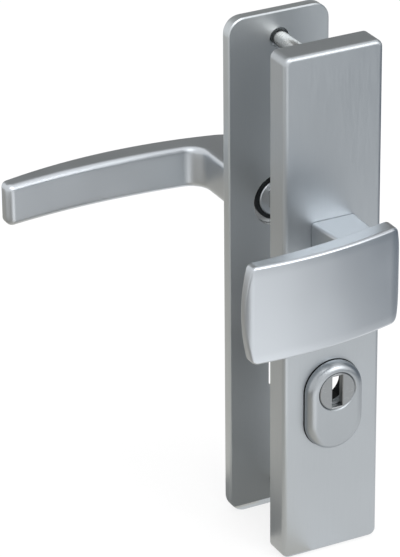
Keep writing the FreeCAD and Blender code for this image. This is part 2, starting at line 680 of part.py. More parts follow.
def make_key_disc():
    """Disc that turns with the key: a slotted head on a short tubular hub."""
    hub, bore = size.disc_hub, size.disc_hub_bore
    groove = (hub + bore) / 2
    rim = size.disc_radius - size.disc_edge
    hub_end = DISC_RING_BACK + size.disc_ring / 2
    body = turned_piece("key_disc", [
        (ZERO, COVER_FRONT), (rim, COVER_FRONT), (size.disc_radius, COVER_FRONT + size.disc_edge),
        (size.disc_radius, DISC_BACK), (hub, DISC_BACK), (hub, DISC_RING_FRONT),
        (groove, DISC_RING_FRONT), (groove, DISC_RING_BACK), (hub, DISC_RING_BACK),
        (hub, hub_end), (bore, hub_end), (bore, DISC_BACK), (ZERO, DISC_BACK),
    ], z=CYLINDER_AXIS)
    slot = face_sketch(body, "key_slot_outline", COVER_FRONT, z=CYLINDER_AXIS)
    draw_rectangle(slot, size.key_slot_width, size.key_slot_height)
    cut(body, "key_slot", slot, size.disc_thickness, into_door=True)
    dress(body, "Chamfer", "key_slot_edges", is_slot_edge, Size=size.disc_edge)
    return body


def is_slot_edge(edge):
    """Whether an edge is one of the four round the key slot's front."""
    straight = runs_along(edge, "X") or runs_along(edge, "Z")
    return straight and lies_at_depth(edge, COVER_FRONT)


def make_disc_retaining_ring():
    """Snap ring on the key disc's hub, behind the cover's web."""
    body = new_body("disc_retaining_ring")
    groove = (size.disc_hub + size.disc_hub_bore) / 2
    ring = face_sketch(body, "disc_ring_outline", DISC_RING_BACK, z=CYLINDER_AXIS)
    draw_snap_ring(ring, groove + size.running_gap, size.disc_ring_radius)
    pad(body, "disc_ring", ring, size.disc_ring - size.running_gap)
    return body


def make_cover_springs():
    """Two compression springs that hold the cover out."""
    body = new_body("cover_springs")
    wire = size.cover_spring_wire / 2
    start = COVER_BACK - size.cover_spring_depth + size.running_gap + wire
    length = RETAINER_FRONT - size.running_gap - wire - start
    for name, side in (("left", -1.0), ("right", 1.0)):
        section = plan_sketch(body, f"cover_spring_{name}_wire", size.cover_spring_side * side,
                              CYLINDER_AXIS - size.cover_spring_drop)
        draw_wire(section, size.cover_spring_radius, start, wire)
        add_feature(body, "AdditiveHelix", f"cover_spring_{name}", section,
                    ReferenceAxis=(section, ["V_Axis"]), Mode="pitch-height-angle",
                    Pitch=size.cover_spring_pitch, Height=length)
    return body


def make_cover_retainer():
    """Pressed steel bridge behind the cover; springs bear on it and the lock cylinder passes it."""
    body = new_body("cover_retainer")
    sheet = size.retainer_sheet
    foot_back = ARMOUR_BACK + sheet
    inside, outside = BRIDGE_REACH, BRIDGE_REACH + sheet
    foot_end = outside + size.retainer_foot
    side = new_sketch(body, "retainer_side_view", "YZ_Plane", up=COVER_MIDDLE)
    draw_outline(side, [
        (RETAINER_BACK, -outside), (RETAINER_BACK, outside), (foot_back, outside),
        (foot_back, foot_end), (ARMOUR_BACK, foot_end), (ARMOUR_BACK, inside),
        (RETAINER_FRONT, inside), (RETAINER_FRONT, -inside), (ARMOUR_BACK, -inside),
        (ARMOUR_BACK, -foot_end), (foot_back, -foot_end), (foot_back, -outside),
    ])
    pad(body, "retainer_pressing", side, size.retainer_width, both_ways=True)
    dress(body, "Fillet", "retainer_bends", is_outer_bend, Radius=size.retainer_bend)
    window = face_sketch(body, "retainer_window_outline", RETAINER_BACK, z=CYLINDER_AXIS)
    draw_profile(window, sheet, size.retainer_window)
    cut(body, "retainer_window_cut", window, sheet)
    for name, height in RETAINER_SCREWS.items():
        hole = face_sketch(body, f"retainer_hole_{name}_outline", foot_back, z=height)
        draw_circle(hole, size.retainer_screw_size / 2 + size.slack / 2)
        cut(body, f"retainer_hole_{name}", hole, sheet)
    return body


def is_outer_bend(edge):
    """Whether an edge is on the outside of the bends beside the retainer's bridge."""
    return runs_along(edge, "X") and near(edge.BoundBox.YMin, RETAINER_BACK)


def make_retainer_screws():
    """Two small screws that hold the retainer's feet to the hardened plate."""
    body = new_body("retainer_screws")
    seat = ARMOUR_BACK + size.retainer_sheet
    shank = size.retainer_screw_size / 2
    head = size.retainer_screw_head / 2
    top = seat + size.retainer_screw_head_depth
    tip = ARMOUR_FRONT + size.slack
    for name, height in RETAINER_SCREWS.items():
        profile = plan_sketch(body, f"retainer_screw_{name}_profile", z=height)
        draw_outline(profile, [(ZERO, tip), (shank, tip), (shank, seat), (head, seat),
                               (head, top), (ZERO, top)])
        revolve(body, f"retainer_screw_{name}", profile)
    for name, height in RETAINER_SCREWS.items():
        drive_recess(body, f"retainer_screw_{name}_drive", top, size.retainer_screw_drive, z=height)
    return body


def make_post(name, height):
    """Threaded post: its flange lies under the hardened plate, its end enters the inner plate."""
    flange_back = ARMOUR_FRONT + size.post_foot_depth
    flange, waist, shank = size.post_foot / 2, size.post_waist / 2, size.post_size / 2
    bore = size.fixing_screw_size / 2 + size.running_gap
    bore_end = POST_END - size.fixing_screw_bite - size.fixing_screw_size
    bevel = size.slack * 2
    return turned_piece(f"post_{name}", [
        (ZERO, ARMOUR_FRONT), (flange, ARMOUR_FRONT), (flange, flange_back), (waist, flange_back),
        (waist, ARMOUR_BACK), (shank, ARMOUR_BACK), (shank, POST_END - bevel),
        (shank - bevel, POST_END), (bore, POST_END), (bore, bore_end), (ZERO, bore_end),
    ], z=height)


def make_fixing_screw(name, height):
    """Countersunk screw from the room side into a post."""
    shank, head = size.fixing_screw_size / 2, size.fixing_head / 2
    body = turned_piece(f"fixing_screw_{name}", [
        (ZERO, POST_END - size.fixing_screw_bite), (shank, POST_END - size.fixing_screw_bite),
        (shank, INNER_ROOM_SIDE - (head - shank)), (head, INNER_ROOM_SIDE), (ZERO, INNER_ROOM_SIDE),
    ], z=height)
    drive_recess(body, f"fixing_screw_{name}_drive", INNER_ROOM_SIDE, size.fixing_screw_drive, z=height)
    return body


def make_inner_plate():
    """Room-side plate with the lever's bearing, the lock cylinder's hole and two stepped holes."""
    body = rounded_plate("inner_plate", size.inner_width, size.inner_height, INNER_DOOR_SIDE,
                         size.inner_depth, size.inner_corner)
    dress(body, "Fillet", "inner_room_edge", lambda edge: lies_at_depth(edge, INNER_ROOM_SIDE),
          Radius=size.inner_edge)
    dress(body, "Chamfer", "inner_door_edge", lambda edge: lies_at_depth(edge, INNER_DOOR_SIDE),
          Size=size.inner_back_edge)
    bearing = size.bush_radius + size.running_gap
    seat = plan_sketch(body, "inner_bearing_profile")
    draw_outline(seat, [
        (ZERO, INNER_DOOR_SIDE), (size.bearing_bore, INNER_DOOR_SIDE),
        (size.bearing_bore, CHAMBER_FLOOR), (bearing, CHAMBER_FLOOR),
        (bearing, INNER_ROOM_SIDE), (ZERO, INNER_ROOM_SIDE),
    ])
    turn_out(body, "inner_bearing", seat)
    anchor = face_sketch(body, "inner_spring_slot_outline", INNER_DOOR_SIDE, x=size.bearing_bore)
    draw_rectangle(anchor, size.coil_slot * 2, size.coil_slot)
    cut(body, "inner_spring_slot", anchor, size.bearing_depth, into_door=True)
    lock = face_sketch(body, "inner_lock_outline", INNER_DOOR_SIDE, z=CYLINDER_AXIS)
    draw_profile(lock, size.cylinder_slack)
    cut(body, "inner_lock_hole", lock, size.inner_depth, into_door=True)
    entry = size.post_hole / 2
    entry_floor = POST_END + size.slack
    through = size.fixing_screw_size / 2 + size.slack / 2
    sink = size.fixing_head / 2 + size.slack
    for name, height in POST_HEIGHTS.items():
        stepped = plan_sketch(body, f"inner_post_hole_{name}_profile", z=height)
        draw_outline(stepped, [
            (ZERO, INNER_DOOR_SIDE), (entry, INNER_DOOR_SIDE), (entry, entry_floor),
            (through, entry_floor), (through, INNER_ROOM_SIDE - (sink - through)),
            (sink, INNER_ROOM_SIDE), (ZERO, INNER_ROOM_SIDE),
        ])
        turn_out(body, f"inner_post_hole_{name}", stepped)
    return body


def make_lever_bush():
    """Plastic bearing bush with a collar between plate and lever."""
    inner = size.journal_radius + size.running_gap
    start = WASHER_BACK + size.running_gap * 2
    collar_end = INNER_ROOM_SIDE + size.bush_collar_depth
    return turned_piece("lever_bush", [
        (inner, start), (size.bush_radius, start), (size.bush_radius, INNER_ROOM_SIDE),
        (size.bush_collar, INNER_ROOM_SIDE), (size.bush_collar, collar_end), (inner, collar_end),
    ])


def make_return_spring():
    """Torsion spring round the bush, one end in the plate and the other in the driver washer."""
    body = new_body("return_spring")
    wire = size.coil_wire / 2
    section = plan_sketch(body, "coil_wire")
    draw_wire(section, size.coil_radius, COIL_DEPTH, wire)
    revolve(body, "coil", section, COIL_TURN)
    fixed_end = new_sketch(body, "coil_fixed_end_wire", "YZ_Plane", across=COIL_DEPTH, out=size.coil_radius)
    draw_rectangle(fixed_end, wire * 2, wire * 2)
    pad(body, "coil_fixed_end", fixed_end, size.bearing_bore - size.coil_radius + size.coil_wire)
    driven_x, driven_z = polar(size.coil_radius, COIL_DRIVEN_END)
    driven_end = face_sketch(body, "coil_driven_end_wire", COIL_DEPTH, driven_x, driven_z)
    draw_rectangle(driven_end, wire * 2, wire * 2)
    pad(body, "coil_driven_end", driven_end, COIL_DEPTH - WASHER_FRONT)
    return body


def make_lever_washer():
    """Driver washer: a tongue turns it with the lever, a slot in its rim takes the spring."""
    body = new_body("lever_washer")
    disc = draw_circle(face_sketch(body, "washer_outline", WASHER_BACK), size.washer_radius)
    pad(body, "washer_blank", disc, size.washer_thickness)
    hole = face_sketch(body, "washer_hole_outline", WASHER_BACK)
    draw_circle(hole, size.journal_radius + size.running_gap * 2)
    cut(body, "washer_hole", hole, size.washer_thickness)
    tongue = face_sketch(body, "washer_tongue_outline", WASHER_BACK, x=size.journal_radius)
    play = size.running_gap * 2
    draw_rectangle(tongue, (size.key_depth - play) * 2, size.key_width - play)
    pad(body, "washer_tongue", tongue, size.washer_thickness)
    slot_x, slot_z = polar(size.coil_radius, COIL_DRIVEN_END)
    slot = face_sketch(body, "washer_slot_outline", WASHER_BACK, slot_x, slot_z)
    draw_circle(slot, size.coil_slot / 2)
    cut(body, "washer_slot", slot, size.washer_thickness)
    return body


def make_lever_snap_ring():
    """Snap ring in the journal's groove that holds the lever in the plate."""
    body = new_body("lever_snap_ring")
    ring = face_sketch(body, "lever_ring_outline", RING_BACK)
    draw_snap_ring(ring, size.ring_groove + size.running_gap, size.ring_outer)
    pad(body, "lever_ring", ring, size.ring_thickness)
    return body


def make_lever_handle():
    """Lever: a bowed flat arm on a square neck, rounded all along, with its journal and socket."""
    body = new_body("lever_handle")
    left, right, tip = -size.neck_left, size.neck_right, -size.lever_tip
    plan = plan_sketch(body, "lever_plan")
    draw_outline(plan, [
        (left, LEVER_SHOULDER), (right, LEVER_SHOULDER),
        (right, INNER_ROOM_SIDE + size.arm_reach_neck), (tip, INNER_ROOM_SIDE + size.arm_reach_tip),
        (tip, INNER_ROOM_SIDE + size.hand_gap_tip), (left, INNER_ROOM_SIDE + size.hand_gap_neck),
    ], {2: -size.arm_outer_radius, 4: size.arm_inner_radius})
    pad(body, "lever_blank", plan, size.lever_height, both_ways=True)

    def upright(x, low, high):
        def test(edge):
            box = edge.BoundBox
            return runs_along(edge, "Z") and near(box.XMin, x) and low.number < box.YMin < high.number
        return test

    arm_start = INNER_ROOM_SIDE + size.hand_gap_tip / 2
    arm_end = INNER_ROOM_SIDE + size.arm_reach_tip * 2
    dress(body, "Fillet", "lever_outer_bend", upright(right, arm_start, arm_end), Radius=size.bend_outer)
    dress(body, "Fillet", "lever_inner_bend", upright(left, arm_start, arm_end), Radius=size.bend_inner)
    dress(body, "Fillet", "lever_tip_edges", upright(tip, arm_start, arm_end), Radius=size.tip_round)

    def is_long_edge(edge):
        level = lies_level(edge, size.lever_height / 2) or lies_level(edge, -size.lever_height / 2)
        return level and not lies_at_depth(edge, LEVER_SHOULDER)

    dress(body, "Fillet", "lever_edges", is_long_edge, Radius=size.lever_edge)
    add_journal(body)
    socket = face_sketch(body, "lever_socket_outline", JOURNAL_END)
    side = size.spindle_side + size.cylinder_slack
    draw_rectangle(socket, side, side)
    cut(body, "lever_socket", socket, SPINDLE_END + size.slack - JOURNAL_END, into_door=True)
    keyway = face_sketch(body, "lever_keyway_outline", JOURNAL_END, x=size.journal_radius)
    draw_rectangle(keyway, size.key_depth * 2, size.key_width)
    cut(body, "lever_keyway", keyway, WASHER_BACK + size.running_gap * 2 - JOURNAL_END, into_door=True)
    thread = new_sketch(body, "lever_grub_thread_outline", "XY_Plane", up=LEVER_SHOULDER + size.grub_offset)
    draw_circle(thread, size.grub_size / 2 + size.running_gap)
    # this pocket starts at the lever's middle height, inside the socket, and runs down
    cut(body, "lever_grub_thread", thread, size.lever_height, into_door=True)
    return body


def add_journal(body):
    """Turn the journal, with its snap ring's groove, onto the neck's foot."""
    radius, bevel, groove = size.journal_radius, size.journal_chamfer, size.ring_groove
    groove_start = RING_FRONT - size.running_gap
    profile = plan_sketch(body, "journal_profile")
    draw_outline(profile, [
        (ZERO, JOURNAL_END), (radius - bevel, JOURNAL_END), (radius, JOURNAL_END + bevel),
        (radius, groove_start), (groove, groove_start), (groove, WASHER_FRONT),
        (radius, WASHER_FRONT), (radius, LEVER_SHOULDER), (ZERO, LEVER_SHOULDER),
    ])
    revolve(body, "journal", profile)


def make_spindle():
    """Square half spindle from the lever's neck towards the latch."""
    body = new_body("spindle")
    outline = face_sketch(body, "spindle_outline", size.spindle_start)
    draw_rectangle(outline, size.spindle_side, size.spindle_side)
    pad(body, "spindle_bar", outline, SPINDLE_END - size.spindle_start, into_door=True)
    dress(body, "Chamfer", "spindle_edges", lambda edge: runs_along(edge, "Y"), Size=size.slack)
    return body


def make_lever_grub_screw():
    """Grub screw from the neck's underside onto the spindle."""
    body = new_body("lever_grub_screw")
    foot = size.lever_height / 2 - size.slack
    length = foot - size.spindle_side / 2 - size.running_gap
    depth = LEVER_SHOULDER + size.grub_offset
    outline = new_sketch(body, "grub_outline", "XY_Plane", up=depth, out=-foot)
    draw_circle(outline, size.grub_size / 2)
    pad(body, "grub_blank", outline, length)
    recess = new_sketch(body, "grub_drive_outline", "XY_Plane", up=depth, out=-foot)
    draw_outline(recess, [polar(size.grub_size / 4, 60 * corner) for corner in range(6)])
    cut(body, "grub_drive", recess, length / 2)
    return body


def build_pieces():
    """Build every piece and give them back in their order from outside to inside."""
    pieces = [make_pull_knob(), make_knob_screws(), make_outer_plate(), make_armour_plate()]
    pieces += [make_cylinder_cover(), make_key_disc(), make_disc_retaining_ring()]
    pieces += [make_cover_springs(), make_cover_retainer(), make_retainer_screws()]
    for name, height in POST_HEIGHTS.items():
        pieces += [make_post(name, height), make_fixing_screw(name, height)]
    pieces += [make_inner_plate(), make_lever_bush(), make_return_spring(), make_lever_washer()]
    pieces += [make_lever_snap_ring(), make_lever_handle(), make_spindle(), make_lever_grub_screw()]
    return pieces


def write_pieces(pieces):
    """Stop on anything that failed to build, then write one file for each piece."""
    doc.recompute()
    for thing in doc.Objects:
        if "Invalid" in thing.State or "Error" in thing.State:
            raise RuntimeError(f"{thing.Label} failed: {thing.State}")
    for body in pieces:
        if body.Shape.isNull() or not body.Shape.isValid():
            raise RuntimeError(f"{body.Label} has no sound shape")
    os.makedirs("parts", exist_ok=True)
    for body in pieces:
        body.Shape.exportStep(f"parts/{body.Label}.step")
        print(f"{body.Label}: {len(body.Shape.Solids)} solid(s), {body.Shape.Volume:.1f} mm3")


write_pieces(build_pieces())
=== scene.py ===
"""Looks of a security door set: anodised plates and handles, plated and hardened steel, wound wire
springs, threaded screws and a pale studio stage.

The set comes in as fixed geometry, in metres: X right seen from outside, +Y into the door, +Z up.
"""
import json
import math
import bmesh
import bpy
from bpy.props import FloatProperty, FloatVectorProperty, PointerProperty
from mathutils import Matrix, Vector

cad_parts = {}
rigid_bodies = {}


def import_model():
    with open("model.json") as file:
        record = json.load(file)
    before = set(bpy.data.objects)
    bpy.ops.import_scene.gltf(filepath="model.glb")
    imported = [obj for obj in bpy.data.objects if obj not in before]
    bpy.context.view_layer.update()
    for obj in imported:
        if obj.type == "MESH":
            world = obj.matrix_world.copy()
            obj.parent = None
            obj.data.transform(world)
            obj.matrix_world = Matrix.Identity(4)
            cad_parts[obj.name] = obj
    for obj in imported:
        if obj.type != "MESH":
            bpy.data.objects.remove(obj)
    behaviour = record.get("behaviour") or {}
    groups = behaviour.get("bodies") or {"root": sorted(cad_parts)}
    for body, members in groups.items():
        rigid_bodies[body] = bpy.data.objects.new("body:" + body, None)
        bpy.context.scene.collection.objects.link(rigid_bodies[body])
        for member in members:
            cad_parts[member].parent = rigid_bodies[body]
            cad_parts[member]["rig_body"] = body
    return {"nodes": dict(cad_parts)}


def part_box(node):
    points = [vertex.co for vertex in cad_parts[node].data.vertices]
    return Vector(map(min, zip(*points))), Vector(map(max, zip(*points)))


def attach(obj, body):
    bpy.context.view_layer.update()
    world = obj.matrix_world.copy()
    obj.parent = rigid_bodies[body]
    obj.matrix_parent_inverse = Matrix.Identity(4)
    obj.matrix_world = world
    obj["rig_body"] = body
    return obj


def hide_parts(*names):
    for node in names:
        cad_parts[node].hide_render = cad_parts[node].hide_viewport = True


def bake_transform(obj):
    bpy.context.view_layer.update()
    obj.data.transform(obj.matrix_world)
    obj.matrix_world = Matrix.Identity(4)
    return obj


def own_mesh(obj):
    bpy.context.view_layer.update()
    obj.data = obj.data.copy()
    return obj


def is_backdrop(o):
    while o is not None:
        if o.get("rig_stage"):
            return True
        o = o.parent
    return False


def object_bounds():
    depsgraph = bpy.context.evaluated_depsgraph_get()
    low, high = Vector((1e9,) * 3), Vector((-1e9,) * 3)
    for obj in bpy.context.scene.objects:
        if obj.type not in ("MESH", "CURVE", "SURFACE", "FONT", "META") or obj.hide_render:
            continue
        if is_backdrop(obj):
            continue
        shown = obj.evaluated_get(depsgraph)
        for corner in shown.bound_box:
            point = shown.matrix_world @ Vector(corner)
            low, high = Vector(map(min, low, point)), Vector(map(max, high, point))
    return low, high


bl_info = {
    "name": "Door Escutcheon Finishes",
    "version": (1, 1, 0),
    "blender": (4, 5, 0),
    "location": "View3D > Sidebar > Door Set",
    "description": "Finishes, wire springs, screws and a studio stage for a security door set",
    "category": "Material",
}

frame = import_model()

MM = 0.001

# Places taken from the frame
DISC_LOW, DISC_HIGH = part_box("key_disc")
COVER_LOW, COVER_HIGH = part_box("cylinder_cover")
SHIELD_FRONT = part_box("outer_plate")[0].y
KEY_AXIS = (DISC_LOW.z + DISC_HIGH.z) / 2

UP = (0.0, 0.0, 1.0)


def to_linear(hex_colour):
    """Turn an sRGB colour such as "A8ADB2" into linear red, green and blue."""
    channels = [int(hex_colour[start:start + 2], 16) / 255 for start in (0, 2, 4)]
    return [c / 12.92 if c <= 0.04045 else ((c + 0.055) / 1.055) ** 2.4 for c in channels]


def colour_property(name, description, hex_colour):
    return FloatVectorProperty(name=name, description=description, subtype="COLOR", size=3,
                               min=0.0, max=1.0, default=to_linear(hex_colour))


def length_property(name, description, millimetres):
    return FloatProperty(name=name, description=description, subtype="DISTANCE", unit="LENGTH",
                         min=0.0, default=millimetres * MM)


# Settings
class FinishSettings(bpy.types.PropertyGroup):
    """Colours and grain of the set's finishes."""

    plate: colour_property("Plates", "Natural anodised extruded aluminium", "B4B9BD")
    room_plate: colour_property("Room plate", "The same, from a lighter batch", "C3C8CB")
    grip: colour_property("Grip", "Natural anodised cast aluminium", "BCC1C6")
    lever: colour_property("Lever", "The same, a little lighter", "C3C8CD")
    cover: colour_property("Cover", "Anodised die-cast aluminium", "A9AEB2")
    disc: colour_property("Key disc", "Turned steel", "96999B")
    zinc: colour_property("Zinc", "Bright zinc on posts, screws and pressings", "CCCDCC")
    bridge: colour_property("Bridge", "Duller zinc on the pressed bridge", "8A8C8D")
    hardened: colour_property("Hardened plate", "Ground and oiled hardened steel", "C4C6C8")
    black: colour_property("Phosphated steel", "Snap rings and grub screw", "1B1F22")
    spring: colour_property("Spring wire", "Drawn spring steel", "8C8C8E")
    plastic: colour_property("Bush", "Black moulded plastic", "202123")
    die_line: length_property("Die lines", "Width of the faint lines along the plates", 0.5)
    grind_line: length_property("Grinding marks", "Width of the marks along grip and lever", 0.4)


class WireSettings(bpy.types.PropertyGroup):
    """Wire of the springs."""

    cover_wire: length_property("Cover springs' wire", "Wire diameter", 0.6)
    cover_pitch: length_property("Cover springs' pitch", "Rise of an open turn", 3.6)
    return_wire: length_property("Return spring's wire", "Wire diameter", 1.0)
    return_end: FloatProperty(name="Driven end", description="Place of the return spring's driven end",
                              subtype="ANGLE", default=math.radians(60.0))


class ScrewSettings(bpy.types.PropertyGroup):
    """Threads and recesses of the screws."""

    knob_thread: length_property("Knob screws", "Thread diameter", 6.0)
    knob_pitch: length_property("Knob screws' pitch", "Thread pitch", 1.0)
    knob_drive: length_property("Knob screws' recess", "Width across the flats", 4.0)
    knob_head: length_property("Knob screws' head", "Height of the head", 3.0)
    fixing_thread: length_property("Fixing screws", "Thread diameter", 5.0)
    fixing_pitch: length_property("Fixing screws' pitch", "Thread pitch", 0.8)
    fixing_drive: length_property("Fixing screws' recess", "Width across the flats", 3.0)
    retainer_thread: length_property("Retainer screws", "Thread diameter", 3.0)
    retainer_pitch: length_property("Retainer screws' pitch", "Thread pitch", 0.5)
    retainer_drive: length_property("Retainer screws' recess", "Width across the flats", 2.0)
    retainer_head: length_property("Retainer screws' head", "Height of the head", 1.8)
    grub_pitch: length_property("Grub screw's pitch", "Thread pitch", 1.0)
    grub_drive: length_property("Grub screw's recess", "Width across the flats", 2.6)


class StageSettings(bpy.types.PropertyGroup):
    """Camera, backdrop, lamps and the glowing grey cards that paint reflections into the metal."""

    lens: FloatProperty(name="Lens", description="Focal length", subtype="DISTANCE_CAMERA",
                        unit="CAMERA", default=224.65)
    distance: length_property("Distance", "Camera to the point it looks at", 1531.94)
    azimuth: FloatProperty(name="Azimuth", description="Camera left of straight ahead",
                           subtype="ANGLE", default=math.radians(27.32))
    elevation: FloatProperty(name="Elevation", description="Camera above the horizon",
                             subtype="ANGLE", default=math.radians(26.228))
    roll: FloatProperty(name="Roll", description="Turn of the camera about its own axis",
                        subtype="ANGLE", default=math.radians(-0.541))
    target: FloatVectorProperty(name="Target", description="Point the camera looks at",
                                subtype="TRANSLATION", unit="LENGTH",
                                default=(-48.622 * MM, 20.0 * MM, -21.018 * MM))
    backdrop: colour_property("Backdrop", "Floor and background", "FFFFFF")
    overhead: FloatProperty(name="Overhead lamp", description="Brightness of the large lamp above",
                            default=2.2, min=0.0)
    front_right: FloatProperty(name="Front lamp", description="Brightness of the lamp at the front",
                               default=2.8, min=0.0)
    bounce: FloatProperty(name="Bounce card", description="Brightness of the card before the grip",
                          default=1.5, min=0.0)
    lever_bounce: FloatProperty(name="Lever's card", description="Brightness of the lever's card",
                                default=1.6, min=0.0)
    cool_card: colour_property("Cool card", "Far end of the card on the right", "6C7782")
    warm_near: colour_property("Warm card's near end", "Near end of the card on the left", "EDE9E1")
    warm_card: colour_property("Warm card", "Far end of the card on the left", "8C887F")
    end_card: colour_property("End card", "Tone of the card beside the grip's far end", "787876")
    back_card: colour_property("Back card", "Tone of the card behind", "8C8C8A")


# Materials
def add_node(tree, kind, inputs=None, **settings):
    """Add a node with its settings; an input is linked when it is given another node's output."""
    node = tree.nodes.new(kind)
    for name, value in settings.items():
        setattr(node, name, value)
    for name, value in (inputs or {}).items():
        if isinstance(value, bpy.types.NodeSocket):
            tree.links.new(value, node.inputs[name])
        else:
            node.inputs[name].default_value = value
    return node


def start_material(name):
    """A material whose node tree is empty."""
    material = bpy.data.materials.new(name)
    material.use_nodes = True
    material.node_tree.nodes.clear()
    return material, material.node_tree


def shade(colour, factor):
    """A colour made darker or lighter, with its alpha."""
    return (*[min(channel * factor, 1.0) for channel in colour], 1.0)


def close_material(tree, colour, roughness, metallic, relief, depth, **uniform):
    """Join a colour, a roughness and a relief of a real depth in the material's shader."""
    bump = add_node(tree, "ShaderNodeBump", {"Height": relief, "Distance": depth, "Strength": 1.0})
    shader = add_node(tree, "ShaderNodeBsdfPrincipled", {
        "Base Color": colour, "Roughness": roughness, "Metallic": metallic,
        "Normal": bump.outputs["Normal"], **uniform,
    })
    add_node(tree, "ShaderNodeOutputMaterial", {"Surface": shader.outputs["BSDF"]})


def grain(tree, width, stretch=(1.0, 1.0, 1.0), detail=2.0):
    """Random grain of a real width, drawn out along an axis whose stretch is small."""
    place = add_node(tree, "ShaderNodeTexCoord")
    drawn = add_node(tree, "ShaderNodeMapping", {
        "Vector": place.outputs["Object"], "Scale": stretch,
    })
    return add_node(tree, "ShaderNodeTexNoise", {
        "Vector": drawn.outputs["Vector"], "Scale": 1 / width, "Detail": detail,
    }).outputs["Fac"]


def anodised_extrusion(name, colour, die_line):
    """Extruded aluminium, etched and anodised: an even satin with faint upright die lines."""
    material, tree = start_material(name)
    # die lines are finer than this and would not show, so they are drawn coarse and shallow
    lines = grain(tree, die_line, (1.0, 1.0, 0.03))
    # tooth of the etched skin, also coarser than the real one
    tooth = grain(tree, 0.25 * MM)
    # the film's thickness drifts along the profile and shifts its tone a little
    drift = grain(tree, 45 * MM, detail=1.0)
    tone = add_node(tree, "ShaderNodeMix", {
        "Factor": drift, "A": shade(colour, 0.94), "B": shade(colour, 1.06),
    }, data_type="RGBA").outputs[2]
    relief = add_node(tree, "ShaderNodeMath", {0: lines, 1: tooth}, operation="ADD").outputs[0]
    sheen = add_node(tree, "ShaderNodeMapRange", {
        "Value": lines, "From Min": 0.3, "From Max": 0.7, "To Min": 0.38, "To Max": 0.46,
    }).outputs["Result"]
    close_material(tree, tone, sheen, 1.0, relief, 0.003 * MM)
    return material


def anodised_casting(name, colour, grind_line, edge):
    """Cast aluminium, ground and anodised; hands have burnished it in patches and along its edges."""
    worn_middle = edge - 0.6 * MM
    worn_width = 0.9 * MM
    worn_polish = 0.06
    fall_width = 5.0 * MM
    fall_depth = 0.35 * MM
    # the marks' depth is the unit of the relief, and the waves are four times as deep
    mark_depth = 0.002 * MM
    wave_share = 4.0
    material, tree = start_material(name)
    # the grinding belt ran along grip and arm; its marks are drawn coarser than they are
    marks = grain(tree, grind_line, (0.05, 1.0, 1.0))
    # hand polishing leaves a face very slightly wavy
    waves = grain(tree, 12 * MM, detail=0.0)
    patches = grain(tree, 28 * MM, detail=1.0)
    place = add_node(tree, "ShaderNodeTexCoord")
    axes = add_node(tree, "ShaderNodeSeparateXYZ", {0: place.outputs["Object"]})
    height = add_node(tree, "ShaderNodeMath", {0: axes.outputs["Z"]}, operation="ABSOLUTE").outputs[0]
    off_edge = add_node(tree, "ShaderNodeMath", {0: height, 1: worn_middle},
                        operation="SUBTRACT").outputs[0]
    off_edge = add_node(tree, "ShaderNodeMath", {0: off_edge}, operation="ABSOLUTE").outputs[0]
    worn = add_node(tree, "ShaderNodeMapRange", {
        "Value": off_edge, "From Min": 0.0, "From Max": worn_width, "To Min": 1.0, "To Max": 0.0,
    }).outputs["Result"]
    tone = add_node(tree, "ShaderNodeMix", {
        "Factor": patches, "A": shade(colour, 0.96), "B": shade(colour, 1.05),
    }, data_type="RGBA").outputs[2]
    tone = add_node(tree, "ShaderNodeMix", {
        "Factor": worn, "A": tone, "B": shade(colour, 1.12),
    }, data_type="RGBA").outputs[2]
    sheen = add_node(tree, "ShaderNodeMapRange", {
        "Value": patches, "From Min": 0.35, "From Max": 0.65, "To Min": 0.33, "To Max": 0.40,
    }).outputs["Result"]
    # the worn edges are also smoother
    sheen = add_node(tree, "ShaderNodeMath", {0: worn, 1: -worn_polish, 2: sheen},
                     operation="MULTIPLY_ADD").outputs[0]
    relief = add_node(tree, "ShaderNodeMath", {0: waves, 1: wave_share, 2: marks},
                      operation="MULTIPLY_ADD").outputs[0]
    # grinding has let the faces fall off a little towards their long edges
    fall = add_node(tree, "ShaderNodeMapRange", {
        "Value": height, "From Min": edge - fall_width, "From Max": edge,
    }).outputs["Result"]
    fall = add_node(tree, "ShaderNodeMath", {0: fall, 1: 2.0}, operation="POWER").outputs[0]
    relief = add_node(tree, "ShaderNodeMath", {0: fall, 1: -fall_depth / mark_depth, 2: relief},
                      operation="MULTIPLY_ADD").outputs[0]
    close_material(tree, tone, sheen, 1.0, relief, mark_depth)
    return material


